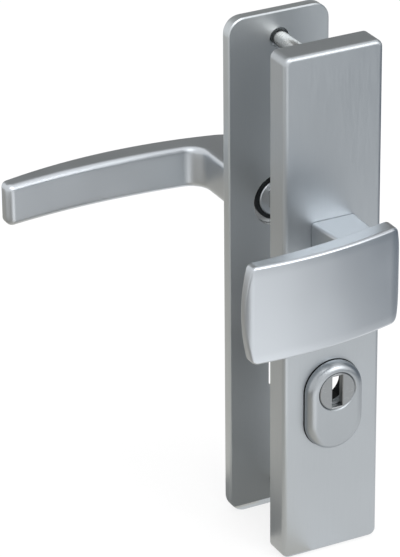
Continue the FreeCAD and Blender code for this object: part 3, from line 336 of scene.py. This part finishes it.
def anodised_cover(colour):
    """Die-cast cover, polished and anodised outside; its cavity and its seam with the shield are painted
    near-black as shade.
    """
    disc_head = 3.0 * MM
    end_wall = 7.5 * MM
    seam_depth = 0.6 * MM
    cavity_front = DISC_LOW.y + disc_head
    cavity_half_width = DISC_HIGH.x
    cavity_half_height = (COVER_HIGH.z - COVER_LOW.z) / 2 - end_wall
    seam_front = SHIELD_FRONT - seam_depth
    material, tree = start_material("anodised_cover")
    # upright polishing marks, drawn coarser than they are
    marks = grain(tree, 0.35 * MM, (1.0, 1.0, 0.1))
    patches = grain(tree, 15 * MM, detail=1.0)
    tone = add_node(tree, "ShaderNodeMix", {
        "Factor": patches, "A": shade(colour, 0.96), "B": shade(colour, 1.05),
    }, data_type="RGBA").outputs[2]
    place = add_node(tree, "ShaderNodeTexCoord")
    axes = add_node(tree, "ShaderNodeSeparateXYZ", {0: place.outputs["Object"]})
    side = add_node(tree, "ShaderNodeMath", {0: axes.outputs["X"]}, operation="ABSOLUTE").outputs[0]
    rise = add_node(tree, "ShaderNodeMath", {0: axes.outputs["Z"], 1: (COVER_LOW.z + COVER_HIGH.z) / 2},
                    operation="SUBTRACT").outputs[0]
    rise = add_node(tree, "ShaderNodeMath", {0: rise}, operation="ABSOLUTE").outputs[0]
    # the cavity begins behind the key disc's head; from there it is painted near-black as shade
    painted_shade = add_node(tree, "ShaderNodeMath", {0: axes.outputs["Y"], 1: cavity_front},
                     operation="GREATER_THAN").outputs[0]
    for distance, limit in ((side, cavity_half_width), (rise, cavity_half_height)):
        within = add_node(tree, "ShaderNodeMath", {0: distance, 1: limit},
                          operation="LESS_THAN").outputs[0]
        painted_shade = add_node(tree, "ShaderNodeMath", {0: painted_shade, 1: within},
                         operation="MULTIPLY").outputs[0]
    # painted shade: the seam between cover and shield is also darkened, as a shadow line
    seam = add_node(tree, "ShaderNodeMath", {0: axes.outputs["Y"], 1: seam_front},
                    operation="GREATER_THAN").outputs[0]
    painted_shade = add_node(tree, "ShaderNodeMath", {0: painted_shade, 1: seam}, operation="MAXIMUM").outputs[0]
    # painted shade: the masked cavity and seam take a near-black copy of the cover's colour
    tone = add_node(tree, "ShaderNodeMix", {
        "Factor": painted_shade, "A": tone, "B": shade(colour, 0.03),
    }, data_type="RGBA").outputs[2]
    sheen = add_node(tree, "ShaderNodeMath", {0: painted_shade, 1: 0.3, 2: 0.33},
                     operation="MULTIPLY_ADD").outputs[0]
    close_material(tree, tone, sheen, 1.0, marks, 0.002 * MM)
    return material


def turned_steel(colour):
    """Faced stainless steel of the key disc: fine rings round the key's axis, scratched by keys."""
    material, tree = start_material("turned_steel")
    place = add_node(tree, "ShaderNodeTexCoord")
    flat = add_node(tree, "ShaderNodeMapping", {
        "Vector": place.outputs["Object"], "Location": (0.0, 0.0, -KEY_AXIS), "Scale": (1.0, 0.0, 1.0),
    })
    radius = add_node(tree, "ShaderNodeVectorMath", {0: flat.outputs["Vector"]},
                      operation="LENGTH").outputs["Value"]
    # the tool's feed was about 0.1 mm; rings that fine would not show
    rings = add_node(tree, "ShaderNodeTexNoise", {"W": radius, "Scale": 1 / (0.35 * MM), "Detail": 2.0},
                     noise_dimensions="1D").outputs["Fac"]
    # keys slip off the slot and leave short bright scratches
    scratches = add_node(tree, "ShaderNodeMapRange", {
        "Value": grain(tree, 0.5 * MM, (0.25, 1.0, 1.0)), "From Min": 0.62, "From Max": 0.70,
    }).outputs["Result"]
    tone = add_node(tree, "ShaderNodeMix", {
        "Factor": scratches, "A": shade(colour, 1.0), "B": shade(colour, 1.25),
    }, data_type="RGBA").outputs[2]
    sheen = add_node(tree, "ShaderNodeMapRange", {
        "Value": rings, "From Min": 0.3, "From Max": 0.7, "To Min": 0.34, "To Max": 0.46,
    }).outputs["Result"]
    close_material(tree, tone, sheen, 1.0, rings, 0.006 * MM)
    return material


def bright_zinc(name, colour, line_width, stretch):
    """Steel with bright passivated zinc: the lines of turning, drawing or rolling show through."""
    material, tree = start_material(name)
    lines = grain(tree, line_width, stretch)
    # the passivation breaks light into faint blue and straw patches
    clouds = grain(tree, 5 * MM)
    red, green, blue = colour
    bluish = (red * 0.96, green * 0.98, min(blue * 1.03, 1.0), 1.0)
    straw = (min(red * 1.03, 1.0), green, blue * 0.95, 1.0)
    tone = add_node(tree, "ShaderNodeMix", {"Factor": clouds, "A": bluish, "B": straw},
                    data_type="RGBA").outputs[2]
    sheen = add_node(tree, "ShaderNodeMapRange", {
        "Value": clouds, "From Min": 0.3, "From Max": 0.7, "To Min": 0.22, "To Max": 0.29,
    }).outputs["Result"]
    close_material(tree, tone, sheen, 1.0, lines, 0.0015 * MM)
    return material


def ground_steel(colour):
    """Hardened steel plate, ground lengthwise and wiped with oil that has dried in smears."""
    material, tree = start_material("ground_steel")
    # grinding lines of about 0.1 mm are drawn four times as wide
    lines = grain(tree, 0.4 * MM, (1.0, 1.0, 0.02), detail=4.0)
    smears = grain(tree, 18 * MM, (1.0, 1.0, 0.5))
    tone = add_node(tree, "ShaderNodeMix", {
        "Factor": smears, "A": shade(colour, 0.8), "B": shade(colour, 1.1),
    }, data_type="RGBA").outputs[2]
    sheen = add_node(tree, "ShaderNodeMapRange", {
        "Value": smears, "From Min": 0.35, "From Max": 0.65, "To Min": 0.30, "To Max": 0.46,
    }).outputs["Result"]
    close_material(tree, tone, sheen, 1.0, lines, 0.008 * MM)
    return material


def phosphated_steel(colour):
    """Phosphated and oiled spring steel: a fine crystalline black with a dull greasy sheen."""
    material, tree = start_material("phosphated_steel")
    place = add_node(tree, "ShaderNodeTexCoord")
    # crystals of a few hundredths of a millimetre are drawn as 0.25 mm
    crystals = add_node(tree, "ShaderNodeTexVoronoi", {
        "Vector": place.outputs["Object"], "Scale": 1 / (0.25 * MM),
    }).outputs["Distance"]
    rubbed = grain(tree, 3 * MM)
    tone = add_node(tree, "ShaderNodeMix", {
        "Factor": rubbed, "A": shade(colour, 0.7), "B": shade(colour, 1.6),
    }, data_type="RGBA").outputs[2]
    sheen = add_node(tree, "ShaderNodeMapRange", {
        "Value": rubbed, "From Min": 0.3, "From Max": 0.7, "To Min": 0.58, "To Max": 0.42,
    }).outputs["Result"]
    close_material(tree, tone, sheen, 0.5, crystals, 0.01 * MM)
    return material


def drawn_wire(colour):
    """Cold-drawn spring wire: grey, with the streaks that the drawing die leaves."""
    material, tree = start_material("drawn_wire")
    streaks = grain(tree, 0.3 * MM, (1.0, 0.3, 1.0))
    tone = add_node(tree, "ShaderNodeMix", {
        "Factor": streaks, "A": shade(colour, 0.85), "B": shade(colour, 1.15),
    }, data_type="RGBA").outputs[2]
    sheen = add_node(tree, "ShaderNodeMapRange", {
        "Value": streaks, "From Min": 0.3, "From Max": 0.7, "To Min": 0.26, "To Max": 0.38,
    }).outputs["Result"]
    close_material(tree, tone, sheen, 1.0, streaks, 0.004 * MM)
    return material


def moulded_acetal(colour):
    """Black acetal, injection moulded: smooth and waxy over the fine texture of the mould."""
    material, tree = start_material("moulded_acetal")
    # the eroded mould's texture is about 0.05 mm and is drawn as 0.2 mm
    texture = grain(tree, 0.2 * MM)
    flow = grain(tree, 8 * MM)
    tone = add_node(tree, "ShaderNodeMix", {
        "Factor": flow, "A": shade(colour, 0.85), "B": shade(colour, 1.2),
    }, data_type="RGBA").outputs[2]
    sheen = add_node(tree, "ShaderNodeMapRange", {
        "Value": flow, "From Min": 0.3, "From Max": 0.7, "To Min": 0.34, "To Max": 0.44,
    }).outputs["Result"]
    close_material(tree, tone, sheen, 0.0, texture, 0.005 * MM, IOR=1.48)
    return material


# Pieces in their finishes
def finish_nodes(material, *nodes):
    """Give CAD nodes their material."""
    for name in nodes:
        slots = frame["nodes"][name].data.materials
        slots.clear()
        slots.append(material)


SHARP = math.radians(35.0)


def stand_for(node, form, material, rides=True):
    """Make a form the piece that stands for a CAD node, on its body and in its material slot."""
    bmesh.ops.recalc_face_normals(form, faces=form.faces)
    mesh = bpy.data.meshes.new(f"{node}_made")
    form.to_mesh(mesh)
    form.free()
    mesh.shade_smooth()
    mesh.set_sharp_from_angle(angle=SHARP)
    mesh.materials.append(material)
    piece = bpy.data.objects.new(mesh.name, mesh)
    bpy.context.scene.collection.objects.link(piece)
    if rides:
        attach(piece, frame["nodes"][node]["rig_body"])
    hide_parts(node)
    return piece


# Springs
WIRE_SIDES = 10
STEPS_PER_TURN = 32
LEAST_STEPS = 4


def edges_at(corners):
    """The edges that meet at some corners, each once and in a fixed order."""
    return list(dict.fromkeys(edge for corner in corners for edge in corner.link_edges))


def wire_ring(form, radius, place):
    """A ring of wire that crosses the XY plane at a place."""
    ring = bmesh.ops.create_circle(form, segments=WIRE_SIDES, radius=radius,
                                   matrix=Matrix.Translation(place))["verts"]
    return [*ring, *edges_at(ring)]


def carry(form, ring, centre, axis, angle, rise=0.0):
    """Carry a ring of wire round an axis, rising along Y on the way, and give its last place."""
    steps = max(LEAST_STEPS, round(abs(angle) / math.tau * STEPS_PER_TURN))
    return bmesh.ops.spin(form, geom=ring, cent=centre, axis=axis, angle=angle, steps=steps,
                          dvec=(0.0, rise / steps, 0.0), use_merge=False)["geom_last"]


def draw_straight(form, ring, run):
    """Carry a ring of wire straight on."""
    edges = [part for part in ring if isinstance(part, bmesh.types.BMEdge)]
    drawn = bmesh.ops.extrude_edge_only(form, edges=edges)["geom"]
    bmesh.ops.translate(form, vec=run,
                        verts=[part for part in drawn if isinstance(part, bmesh.types.BMVert)])


def close_holes(form):
    """Close every open end with a flat face."""
    bmesh.ops.holes_fill(form, edges=[edge for edge in form.edges if edge.is_boundary], sides=0)


def wind_cover_springs(wires):
    """Two compression springs, each with a closed turn at both ends."""
    low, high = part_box("cover_springs")
    wire = wires.cover_wire
    outer = (high.z - low.z) / 2
    form = bmesh.new()
    for side in (-1.0, 1.0):
        axis_place = Vector((side * (high.x - outer), low.y + wire / 2, (low.z + high.z) / 2))
        rise = high.y - low.y - wire
        open_turns = (rise - 2 * wire) / wires.cover_pitch
        ring = wire_ring(form, wire / 2, axis_place + Vector((outer - wire / 2, 0.0, 0.0)))
        for turns, climb in ((1.0, wire), (open_turns, rise - 2 * wire), (1.0, wire)):
            ring = carry(form, ring, axis_place, (0.0, 1.0, 0.0), turns * math.tau, climb)
    close_holes(form)
    return form


def wind_return_spring(wires):
    """One flat turn with an end bent outwards into the plate and one bent towards the washer."""
    low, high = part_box("return_spring")
    wire = wires.return_wire
    coil = -low.x - wire / 2
    depth = high.y - wire / 2
    # both bends have the wire's own radius and move its end on by as much
    bend = wire
    lead = bend / coil
    start = wires.return_end + lead
    end = math.tau - lead
    first = Vector((math.cos(start), 0.0, math.sin(start)))
    last = Vector((math.cos(end), 0.0, math.sin(end)))
    form = bmesh.new()
    ring = wire_ring(form, wire / 2, (coil, depth, 0.0))
    corners = [part for part in ring if isinstance(part, bmesh.types.BMVert)]
    bmesh.ops.rotate(form, verts=corners, matrix=Matrix.Rotation(-start, 3, "Y"))
    turned = carry(form, ring, (0.0, depth, 0.0), (0.0, -1.0, 0.0), end - start)
    outward = last * (coil + bend) + Vector((0.0, depth, 0.0))
    turned = carry(form, turned, outward, (0.0, 1.0, 0.0), math.pi / 2)
    draw_straight(form, turned, last * (high.x - coil - bend - wire / 2))
    down = first * coil + Vector((0.0, depth - bend, 0.0))
    bent = carry(form, ring, down, -first, math.pi / 2)
    draw_straight(form, bent, (0.0, low.y - depth + bend, 0.0))
    close_holes(form)
    return form


# Screws
TOUCH = 0.001 * MM


def open_loop(form, height):
    """The open edges that lie at a height."""
    return [edge for edge in form.edges
            if edge.is_boundary and all(abs(end.co.z - height) < TOUCH for end in edge.verts)]


def cut_thread(form, diameter, pitch, length):
    """A threaded rod along +Z: one turn's profile wound up, trimmed square, its tip bevelled."""
    crest = diameter / 2
    # crest and root flats of an eighth and a quarter of the pitch, flanks at 60 degrees
    core = crest - 5 / 16 * math.sqrt(3) * pitch
    profile = [(core, 0.0), (core, 1 / 4), (crest, 9 / 16), (crest, 11 / 16), (core, 1.0)]
    # the winding starts over a turn early and ends a turn late, and is trimmed to length
    foot = -1.1 * pitch
    corners = [form.verts.new((radius, 0.0, foot + share * pitch)) for radius, share in profile]
    edges = [form.edges.new(pair) for pair in zip(corners, corners[1:])]
    turns = math.ceil((length - foot) / pitch) + 1
    steps = turns * STEPS_PER_TURN
    bmesh.ops.spin(form, geom=corners + edges, cent=(0.0, 0.0, 0.0), axis=(0.0, 0.0, 1.0),
                   angle=turns * math.tau, steps=steps, dvec=(0.0, 0.0, pitch / STEPS_PER_TURN),
                   use_merge=False)
    bmesh.ops.remove_doubles(form, verts=form.verts, dist=TOUCH)
    for height, side in ((0.0, -1.0), (length, 1.0)):
        bmesh.ops.bisect_plane(form, geom=[*form.verts, *form.edges, *form.faces], dist=TOUCH / 10,
                               plane_co=(0.0, 0.0, height), plane_no=(0.0, 0.0, side), clear_outer=True)
    # the tip is bevelled at 45 degrees, from just inside the core
    tip_radius = core * 0.9
    for corner in form.verts:
        limit = tip_radius + corner.co.z
        reach = corner.co.xy.length
        if reach > limit:
            corner.co.xy *= limit / reach
    bmesh.ops.contextual_create(form, geom=open_loop(form, 0.0))
    return core


def sink_recess(form, height, width):
    """Close the open loop at a height with a flat end that has a six-sided recess in it."""
    depth = width * 0.55
    loop = open_loop(form, height)
    six = bmesh.ops.create_circle(form, segments=6, radius=width / math.sqrt(3),
                                  matrix=Matrix.Translation((0.0, 0.0, height)))["verts"]
    rim = edges_at(six)
    bmesh.ops.bridge_loops(form, edges=loop + rim)
    walls = bmesh.ops.extrude_edge_only(form, edges=rim)["geom"]
    floor = [part for part in walls if isinstance(part, bmesh.types.BMVert)]
    bmesh.ops.translate(form, verts=floor, vec=(0.0, 0.0, -depth))
    edges = [part for part in walls if isinstance(part, bmesh.types.BMEdge)]
    bmesh.ops.contextual_create(form, geom=[edge for edge in edges
                                            if all(end in floor for end in edge.verts)])


def headed_screw(diameter, pitch, seat, head_profile, drive):
    """A screw along +Z: a threaded shank up to its seat, and a turned head with a recess."""
    form = bmesh.new()
    # shank and head are each closed by themselves and meet at the seat
    core = cut_thread(form, diameter, pitch, seat)
    bmesh.ops.contextual_create(form, geom=open_loop(form, seat))
    corners = [form.verts.new((radius, 0.0, height)) for radius, height in [(core, seat), *head_profile]]
    edges = [form.edges.new(pair) for pair in zip(corners, corners[1:])]
    bmesh.ops.spin(form, geom=corners + edges, cent=(0.0, 0.0, 0.0), axis=(0.0, 0.0, 1.0),
                   angle=math.tau, steps=STEPS_PER_TURN, use_merge=True)
    sink_recess(form, head_profile[-1][1], drive)
    bmesh.ops.contextual_create(form, geom=open_loop(form, seat))
    return form


def cap_head(seat, radius, height):
    """Outline of a low cylindrical head, bevelled on top."""
    bevel = height * 0.15
    top = seat + height
    return [(radius, seat), (radius, top - bevel), (radius - bevel, top)]


def place_copies(single, matrices):
    """One form that holds a copy of another at each place."""
    mesh = bpy.data.meshes.new("copy")
    single.to_mesh(mesh)
    single.free()
    form = bmesh.new()
    for matrix in matrices:
        placed = mesh.copy()
        placed.transform(matrix)
        form.from_mesh(placed)
        bpy.data.meshes.remove(placed)
    bpy.data.meshes.remove(mesh)
    return form


def into_door(tip, z):
    """Turn a screw modelled along +Z so that its tip is at a depth and its head further in."""
    return Matrix.Translation((0.0, tip, z)) @ Matrix.Rotation(-math.pi / 2, 4, "X")


def pair_of_cap_screws(node, thread, pitch, head, drive):
    """Two screws with low cylindrical heads, one above the other, that fill a node's box."""
    low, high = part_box(node)
    seat = high.y - head - low.y
    single = headed_screw(thread, pitch, seat, cap_head(seat, high.x, head), drive)
    heights = (high.z - high.x, low.z + high.x)
    return place_copies(single, [into_door(low.y, z) for z in heights])


def countersunk_screw(node, thread, pitch, drive):
    """A screw with a flat head that fills a node's box."""
    low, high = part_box(node)
    length = high.y - low.y
    # a head of 90 degrees is as deep as its radius is larger than the shank's
    seat = length - (high.x - thread / 2)
    single = headed_screw(thread, pitch, seat, [(thread / 2, seat), (high.x, length)], drive)
    return place_copies(single, [into_door(low.y, (low.z + high.z) / 2)])


def grub_screw(node, pitch, drive):
    """A screw without a head that fills a node's box, its recess at the bottom."""
    low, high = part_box(node)
    length = high.z - low.z
    form = bmesh.new()
    cut_thread(form, high.x - low.x, pitch, length)
    sink_recess(form, length, drive)
    place = Matrix.Translation((0.0, (low.y + high.y) / 2, high.z))
    bmesh.ops.transform(form, matrix=place @ Matrix.Rotation(math.pi, 4, "X"), verts=form.verts)
    return form


# Steps that finish the pieces
class FinishPlates(bpy.types.Operator):
    """Give both plates their satin anodised finish"""

    bl_idname = "doorset.finish_plates"
    bl_label = "Finish plates"

    def execute(self, context):
        finish = context.scene.door_finish
        finish_nodes(anodised_extrusion("anodised_shield", finish.plate, finish.die_line), "outer_plate")
        finish_nodes(anodised_extrusion("anodised_room_plate", finish.room_plate, finish.die_line),
                     "inner_plate")
        return {"FINISHED"}


class FinishGrip(bpy.types.Operator):
    """Give the fixed knob its ground and anodised finish"""

    bl_idname = "doorset.finish_grip"
    bl_label = "Finish grip"

    def execute(self, context):
        finish = context.scene.door_finish
        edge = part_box("pull_knob")[1].z
        finish_nodes(anodised_casting("anodised_grip", finish.grip, finish.grind_line, edge), "pull_knob")
        return {"FINISHED"}


class FinishLever(bpy.types.Operator):
    """Give the lever its ground and anodised finish"""

    bl_idname = "doorset.finish_lever"
    bl_label = "Finish lever"

    def execute(self, context):
        finish = context.scene.door_finish
        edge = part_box("lever_handle")[1].z
        finish_nodes(anodised_casting("anodised_lever", finish.lever, finish.grind_line, edge),
                     "lever_handle")
        return {"FINISHED"}


class FinishCover(bpy.types.Operator):
    """Give the cylinder cover and the key disc their finishes"""

    bl_idname = "doorset.finish_cover"
    bl_label = "Finish cover and disc"

    def execute(self, context):
        finish = context.scene.door_finish
        finish_nodes(anodised_cover(finish.cover), "cylinder_cover")
        finish_nodes(turned_steel(finish.disc), "key_disc")
        return {"FINISHED"}


class FinishSteel(bpy.types.Operator):
    """Give the hardened plate, posts, pressings, spindle and rings their finishes"""

    bl_idname = "doorset.finish_steel"
    bl_label = "Finish steel pieces"

    def execute(self, context):
        finish = context.scene.door_finish
        tool_line = 0.3 * MM
        rolled_line = 0.4 * MM
        # turning leaves rings round the posts, and drawing leaves lines along the spindle
        rings_round_y = (0.05, 1.0, 0.05)
        lines_along_y = (1.0, 0.03, 1.0)
        # the pressings' sheet keeps the lines of its rolling
        lines_along_x = (0.1, 1.0, 1.0)
        finish_nodes(ground_steel(finish.hardened), "armour_plate")
        finish_nodes(bright_zinc("turned_zinc", finish.zinc, tool_line, rings_round_y),
                     "post_upper", "post_lower")
        finish_nodes(bright_zinc("drawn_zinc", finish.zinc, tool_line, lines_along_y), "spindle")
        finish_nodes(bright_zinc("pressed_zinc", finish.zinc, rolled_line, lines_along_x),
                     "lever_washer")
        finish_nodes(bright_zinc("bridge_zinc", finish.bridge, rolled_line, lines_along_x),
                     "cover_retainer")
        finish_nodes(phosphated_steel(finish.black), "disc_retaining_ring", "lever_snap_ring")
        return {"FINISHED"}


class FinishBush(bpy.types.Operator):
    """Give the lever's bearing bush its moulded finish"""

    bl_idname = "doorset.finish_bush"
    bl_label = "Finish bush"

    def execute(self, context):
        finish_nodes(moulded_acetal(context.scene.door_finish.plastic), "lever_bush")
        return {"FINISHED"}


class WindSprings(bpy.types.Operator):
    """Wind the cover's springs and the lever's return spring from round wire"""

    bl_idname = "doorset.wind_springs"
    bl_label = "Wind springs"

    def execute(self, context):
        wires = context.scene.door_wires
        steel = drawn_wire(context.scene.door_finish.spring)
        cover = stand_for("cover_springs", wind_cover_springs(wires), steel)
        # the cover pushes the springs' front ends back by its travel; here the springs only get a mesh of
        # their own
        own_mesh(cover)
        turned = stand_for("return_spring", wind_return_spring(wires), steel, rides=False)
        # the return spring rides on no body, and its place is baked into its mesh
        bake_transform(turned)
        return {"FINISHED"}


class CutScrews(bpy.types.Operator):
    """Cut the screws with their threads, heads and recesses"""

    bl_idname = "doorset.cut_screws"
    bl_label = "Cut screws"

    def execute(self, context):
        screws = context.scene.door_screws
        finish = context.scene.door_finish
        zinc = bright_zinc("screw_zinc", finish.zinc, 0.3 * MM, (1.0, 1.0, 1.0))
        knob = pair_of_cap_screws("knob_screws", screws.knob_thread, screws.knob_pitch,
                                  screws.knob_head, screws.knob_drive)
        stand_for("knob_screws", knob, zinc)
        retainer = pair_of_cap_screws("retainer_screws", screws.retainer_thread, screws.retainer_pitch,
                                      screws.retainer_head, screws.retainer_drive)
        stand_for("retainer_screws", retainer, zinc)
        for node in ("fixing_screw_upper", "fixing_screw_lower"):
            fixing = countersunk_screw(node, screws.fixing_thread, screws.fixing_pitch,
                                       screws.fixing_drive)
            stand_for(node, fixing, zinc)
        grub = grub_screw("lever_grub_screw", screws.grub_pitch, screws.grub_drive)
        stand_for("lever_grub_screw", grub, phosphated_steel(finish.black))
        return {"FINISHED"}


# Stage
def add_lamp(name, place, width, height, brightness):
    """A soft rectangular lamp aimed at the set; its energy grows with its area as well."""
    lamp = bpy.data.lights.new(name, "AREA")
    lamp.shape = "RECTANGLE"
    lamp.size = width
    lamp.size_y = height
    lamp.energy = brightness * width * height * math.pi
    holder = bpy.data.objects.new(name, lamp)
    holder.location = place
    holder.rotation_euler = Vector(place).to_track_quat("Z", "Y").to_euler()
    bpy.context.scene.collection.objects.link(holder)


def add_sheet(name, width, depth, place, facing, material):
    """A flat sheet of the stage, centred at a place and facing a way."""
    form = bmesh.new()
    bmesh.ops.create_grid(form, x_segments=1, y_segments=1, size=0.5)
    turn = Vector(facing).to_track_quat("Z", "Y").to_matrix().to_4x4()
    stretch = Matrix.Diagonal((width, depth, 1.0, 1.0))
    bmesh.ops.transform(form, matrix=Matrix.Translation(place) @ turn @ stretch, verts=form.verts)
    mesh = bpy.data.meshes.new(name)
    form.to_mesh(mesh)
    form.free()
    mesh.materials.append(material)
    sheet = bpy.data.objects.new(name, mesh)
    bpy.context.scene.collection.objects.link(sheet)
    sheet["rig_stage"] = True
    return sheet


def seen_directly(tree):
    """1 for what the camera, a mirror or clear material sees, 0 for light that lands on matt things."""
    ray = add_node(tree, "ShaderNodeLightPath")
    seen = add_node(tree, "ShaderNodeMath", {
        0: ray.outputs["Is Camera Ray"], 1: ray.outputs["Is Glossy Ray"],
    }, operation="MAXIMUM").outputs[0]
    return add_node(tree, "ShaderNodeMath", {
        0: seen, 1: ray.outputs["Is Transmission Ray"],
    }, operation="MAXIMUM").outputs[0]


def pale_floor(colour):
    """Matt white paper; part of its white is light of its own, so that it stays white in the shade."""
    own_light = 0.75
    material, tree = start_material("pale_floor")
    share = add_node(tree, "ShaderNodeMath", {0: seen_directly(tree), 1: own_light},
                     operation="MULTIPLY").outputs[0]
    matt = add_node(tree, "ShaderNodeBsdfDiffuse", {"Color": shade(colour, 1.0)})
    glow = add_node(tree, "ShaderNodeEmission", {"Color": shade(colour, 1.0), "Strength": 1.0})
    mix = add_node(tree, "ShaderNodeMixShader", {0: share, 1: matt.outputs[0], 2: glow.outputs[0]})
    add_node(tree, "ShaderNodeOutputMaterial", {"Surface": mix.outputs[0]})
    return material


def plain_card(name, tone, brightness=1.0):
    """Card of one tone, with light of its own."""
    material, tree = start_material(name)
    glow = add_node(tree, "ShaderNodeEmission", {"Color": shade(tone, 1.0), "Strength": brightness})
    add_node(tree, "ShaderNodeOutputMaterial", {"Surface": glow.outputs[0]})
    return material


def graded_card(name, near, far, start, end, direction):
    """Card with light of its own that goes from one tone to another along a direction."""
    material, tree = start_material(name)
    place = add_node(tree, "ShaderNodeTexCoord")
    along = add_node(tree, "ShaderNodeVectorMath", {0: place.outputs["Object"], 1: direction},
                     operation="DOT_PRODUCT").outputs["Value"]
    share = add_node(tree, "ShaderNodeMapRange", {
        "Value": along, "From Min": start, "From Max": end,
    }).outputs["Result"]
    tone = add_node(tree, "ShaderNodeMix", {
        "Factor": share, "A": shade(near, 1.0), "B": shade(far, 1.0),
    }, data_type="RGBA").outputs[2]
    glow = add_node(tree, "ShaderNodeEmission", {"Color": tone, "Strength": 1.0})
    add_node(tree, "ShaderNodeOutputMaterial", {"Surface": glow.outputs[0]})
    return material


class BuildStage(bpy.types.Operator):
    """Set up camera, floor, background, grey cards and lamps"""

    bl_idname = "doorset.build_stage"
    bl_label = "Build stage"

    def execute(self, context):
        stage = context.scene.door_stage
        context.scene.view_settings.view_transform = "Standard"
        self.place_camera(context.scene, stage)
        self.light_world(context.scene, stage)
        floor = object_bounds()[0].z
        add_sheet("floor", width=6.0, depth=6.0, place=(0.0, 0.0, floor), facing=UP,
                  material=pale_floor(stage.backdrop))
        self.place_cards(stage, floor)
        add_lamp("overhead", place=(-0.15, -0.75, 1.0), width=1.0, height=0.8,
                 brightness=stage.overhead)
        add_lamp("front_right", place=(0.62, -1.2, 0.70), width=0.9, height=0.8,
                 brightness=stage.front_right)
        return {"FINISHED"}

    def place_camera(self, scene, stage):
        camera = bpy.data.cameras.new("camera")
        camera.lens = stage.lens
        camera.sensor_width = 36.0
        camera.clip_start = 0.05
        camera.clip_end = 20.0
        holder = bpy.data.objects.new("camera", camera)
        scene.collection.objects.link(holder)
        scene.camera = holder
        across = -stage.azimuth
        up = stage.elevation
        back = Vector((math.sin(across) * math.cos(up), -math.cos(across) * math.cos(up), math.sin(up)))
        turn = back.to_track_quat("Z", "Y").to_matrix() @ Matrix.Rotation(stage.roll, 3, "Z")
        holder.location = Vector(stage.target) + back * stage.distance
        holder.rotation_euler = turn.to_euler()

    def light_world(self, scene, stage):
        world = bpy.data.worlds.new("studio")
        scene.world = world
        world.use_nodes = True
        tree = world.node_tree
        tree.nodes.clear()
        # what is seen is white, and matt things get a little less light from all round
        seen = 1.0
        given = 0.95
        strength = add_node(tree, "ShaderNodeMapRange", {
            "Value": seen_directly(tree), "To Min": given, "To Max": seen,
        }).outputs["Result"]
        glow = add_node(tree, "ShaderNodeBackground", {
            "Color": shade(stage.backdrop, 1.0), "Strength": strength,
        })
        add_node(tree, "ShaderNodeOutputWorld", {"Surface": glow.outputs[0]})

    def place_cards(self, stage, floor):
        """Place glowing cards that paint light and dark reflections into the metal; nothing but the
        metal's mirror shows them.
        """
        # the cards lie just above the floor, and over one another
        low = floor + 2 * MM
        middle = floor + 3 * MM
        top = floor + 4 * MM
        right = graded_card("card_right", stage.backdrop, stage.cool_card,
                            start=0.11, end=0.35, direction=(1.0, 0.0, 0.0))
        left = graded_card("card_left", stage.warm_near, stage.warm_card,
                           start=0.0, end=0.31, direction=(-1.0, 0.0, 0.0))
        bounce = plain_card("card_bounce", stage.backdrop, stage.bounce)
        lever = plain_card("card_lever", stage.backdrop, stage.lever_bounce)
        far_end = plain_card("card_end", stage.end_card)
        # the back card's tone also paints the shade of the floor between the plates
        behind = plain_card("card_behind", stage.back_card)
        cards = [
            # painted reflection: front faces mirror a card on the floor to the right, graded from white
            # to a cool grey
            add_sheet("card_right", 1.2, 1.8, (0.61, -0.40, low), UP, right),
            # painted reflection: right ends mirror a graded card standing on the right
            add_sheet("card_side", 0.5, 1.1, (0.75, -0.05, 0.095), (-1.0, 0.0, 0.0), right),
            # painted reflection: left sides mirror a warm graded card on the floor behind them
            add_sheet("card_left", 0.46, 0.80, (-0.24, 0.25, low), UP, left),
            # painted reflection: the grip's rolled far end mirrors a dark card on the floor on the left
            add_sheet("card_end", 0.32, 0.25, (-0.35, -0.255, middle), UP, far_end),
            # painted highlights: grip and lever mirror cards brighter than white on the floor close
            # before the set
            add_sheet("card_bounce", 0.20, 0.17, (-0.02, -0.255, middle), UP, bounce),
            add_sheet("card_lever", 0.11, 0.10, (-0.055, -0.17, top), UP, lever),
            # painted shade: a dark card stands in for the shaded floor between the plates, seen only in
            # the inner plate's reflection
            add_sheet("card_between", 0.09, 0.06, (-0.01, 0.035, middle), UP, behind),
            # painted reflection: level faces mirror a grey card behind the set
            add_sheet("card_behind", 1.4, 1.1, (0.33, 0.74, 0.45), (-0.41, -0.80, -0.44), behind),
        ]
        for sheet in cards:
            sheet.visible_camera = False
            sheet.visible_diffuse = False
            sheet.visible_shadow = False


# Panel and start
class DoorSetPanel(bpy.types.Panel):
    """The door set's steps, in order"""

    bl_idname = "VIEW3D_PT_door_set"
    bl_label = "Door Set"
    bl_space_type = "VIEW_3D"
    bl_region_type = "UI"
    bl_category = "Door Set"

    def draw(self, context):
        for step in STEPS:
            self.layout.operator(step.bl_idname)


STEPS = (FinishPlates, FinishGrip, FinishLever, FinishCover, FinishSteel, FinishBush, WindSprings,
         CutScrews, BuildStage)
SETTINGS = {"door_finish": FinishSettings, "door_wires": WireSettings,
            "door_screws": ScrewSettings, "door_stage": StageSettings}
CLASSES = (*SETTINGS.values(), *STEPS, DoorSetPanel)


def register():
    for kind in CLASSES:
        bpy.utils.register_class(kind)
    for name, kind in SETTINGS.items():
        setattr(bpy.types.Scene, name, PointerProperty(type=kind))


def unregister():
    for name in SETTINGS:
        delattr(bpy.types.Scene, name)
    for kind in reversed(CLASSES):
        bpy.utils.unregister_class(kind)


def main():
    """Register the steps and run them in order."""
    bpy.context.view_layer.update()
    register()
    bpy.ops.doorset.finish_plates()
    bpy.ops.doorset.finish_grip()
    bpy.ops.doorset.finish_lever()
    bpy.ops.doorset.finish_cover()
    bpy.ops.doorset.finish_steel()
    bpy.ops.doorset.finish_bush()
    bpy.ops.doorset.wind_springs()
    bpy.ops.doorset.cut_screws()
    bpy.ops.doorset.build_stage()


if __name__ == "__main__":
    main()
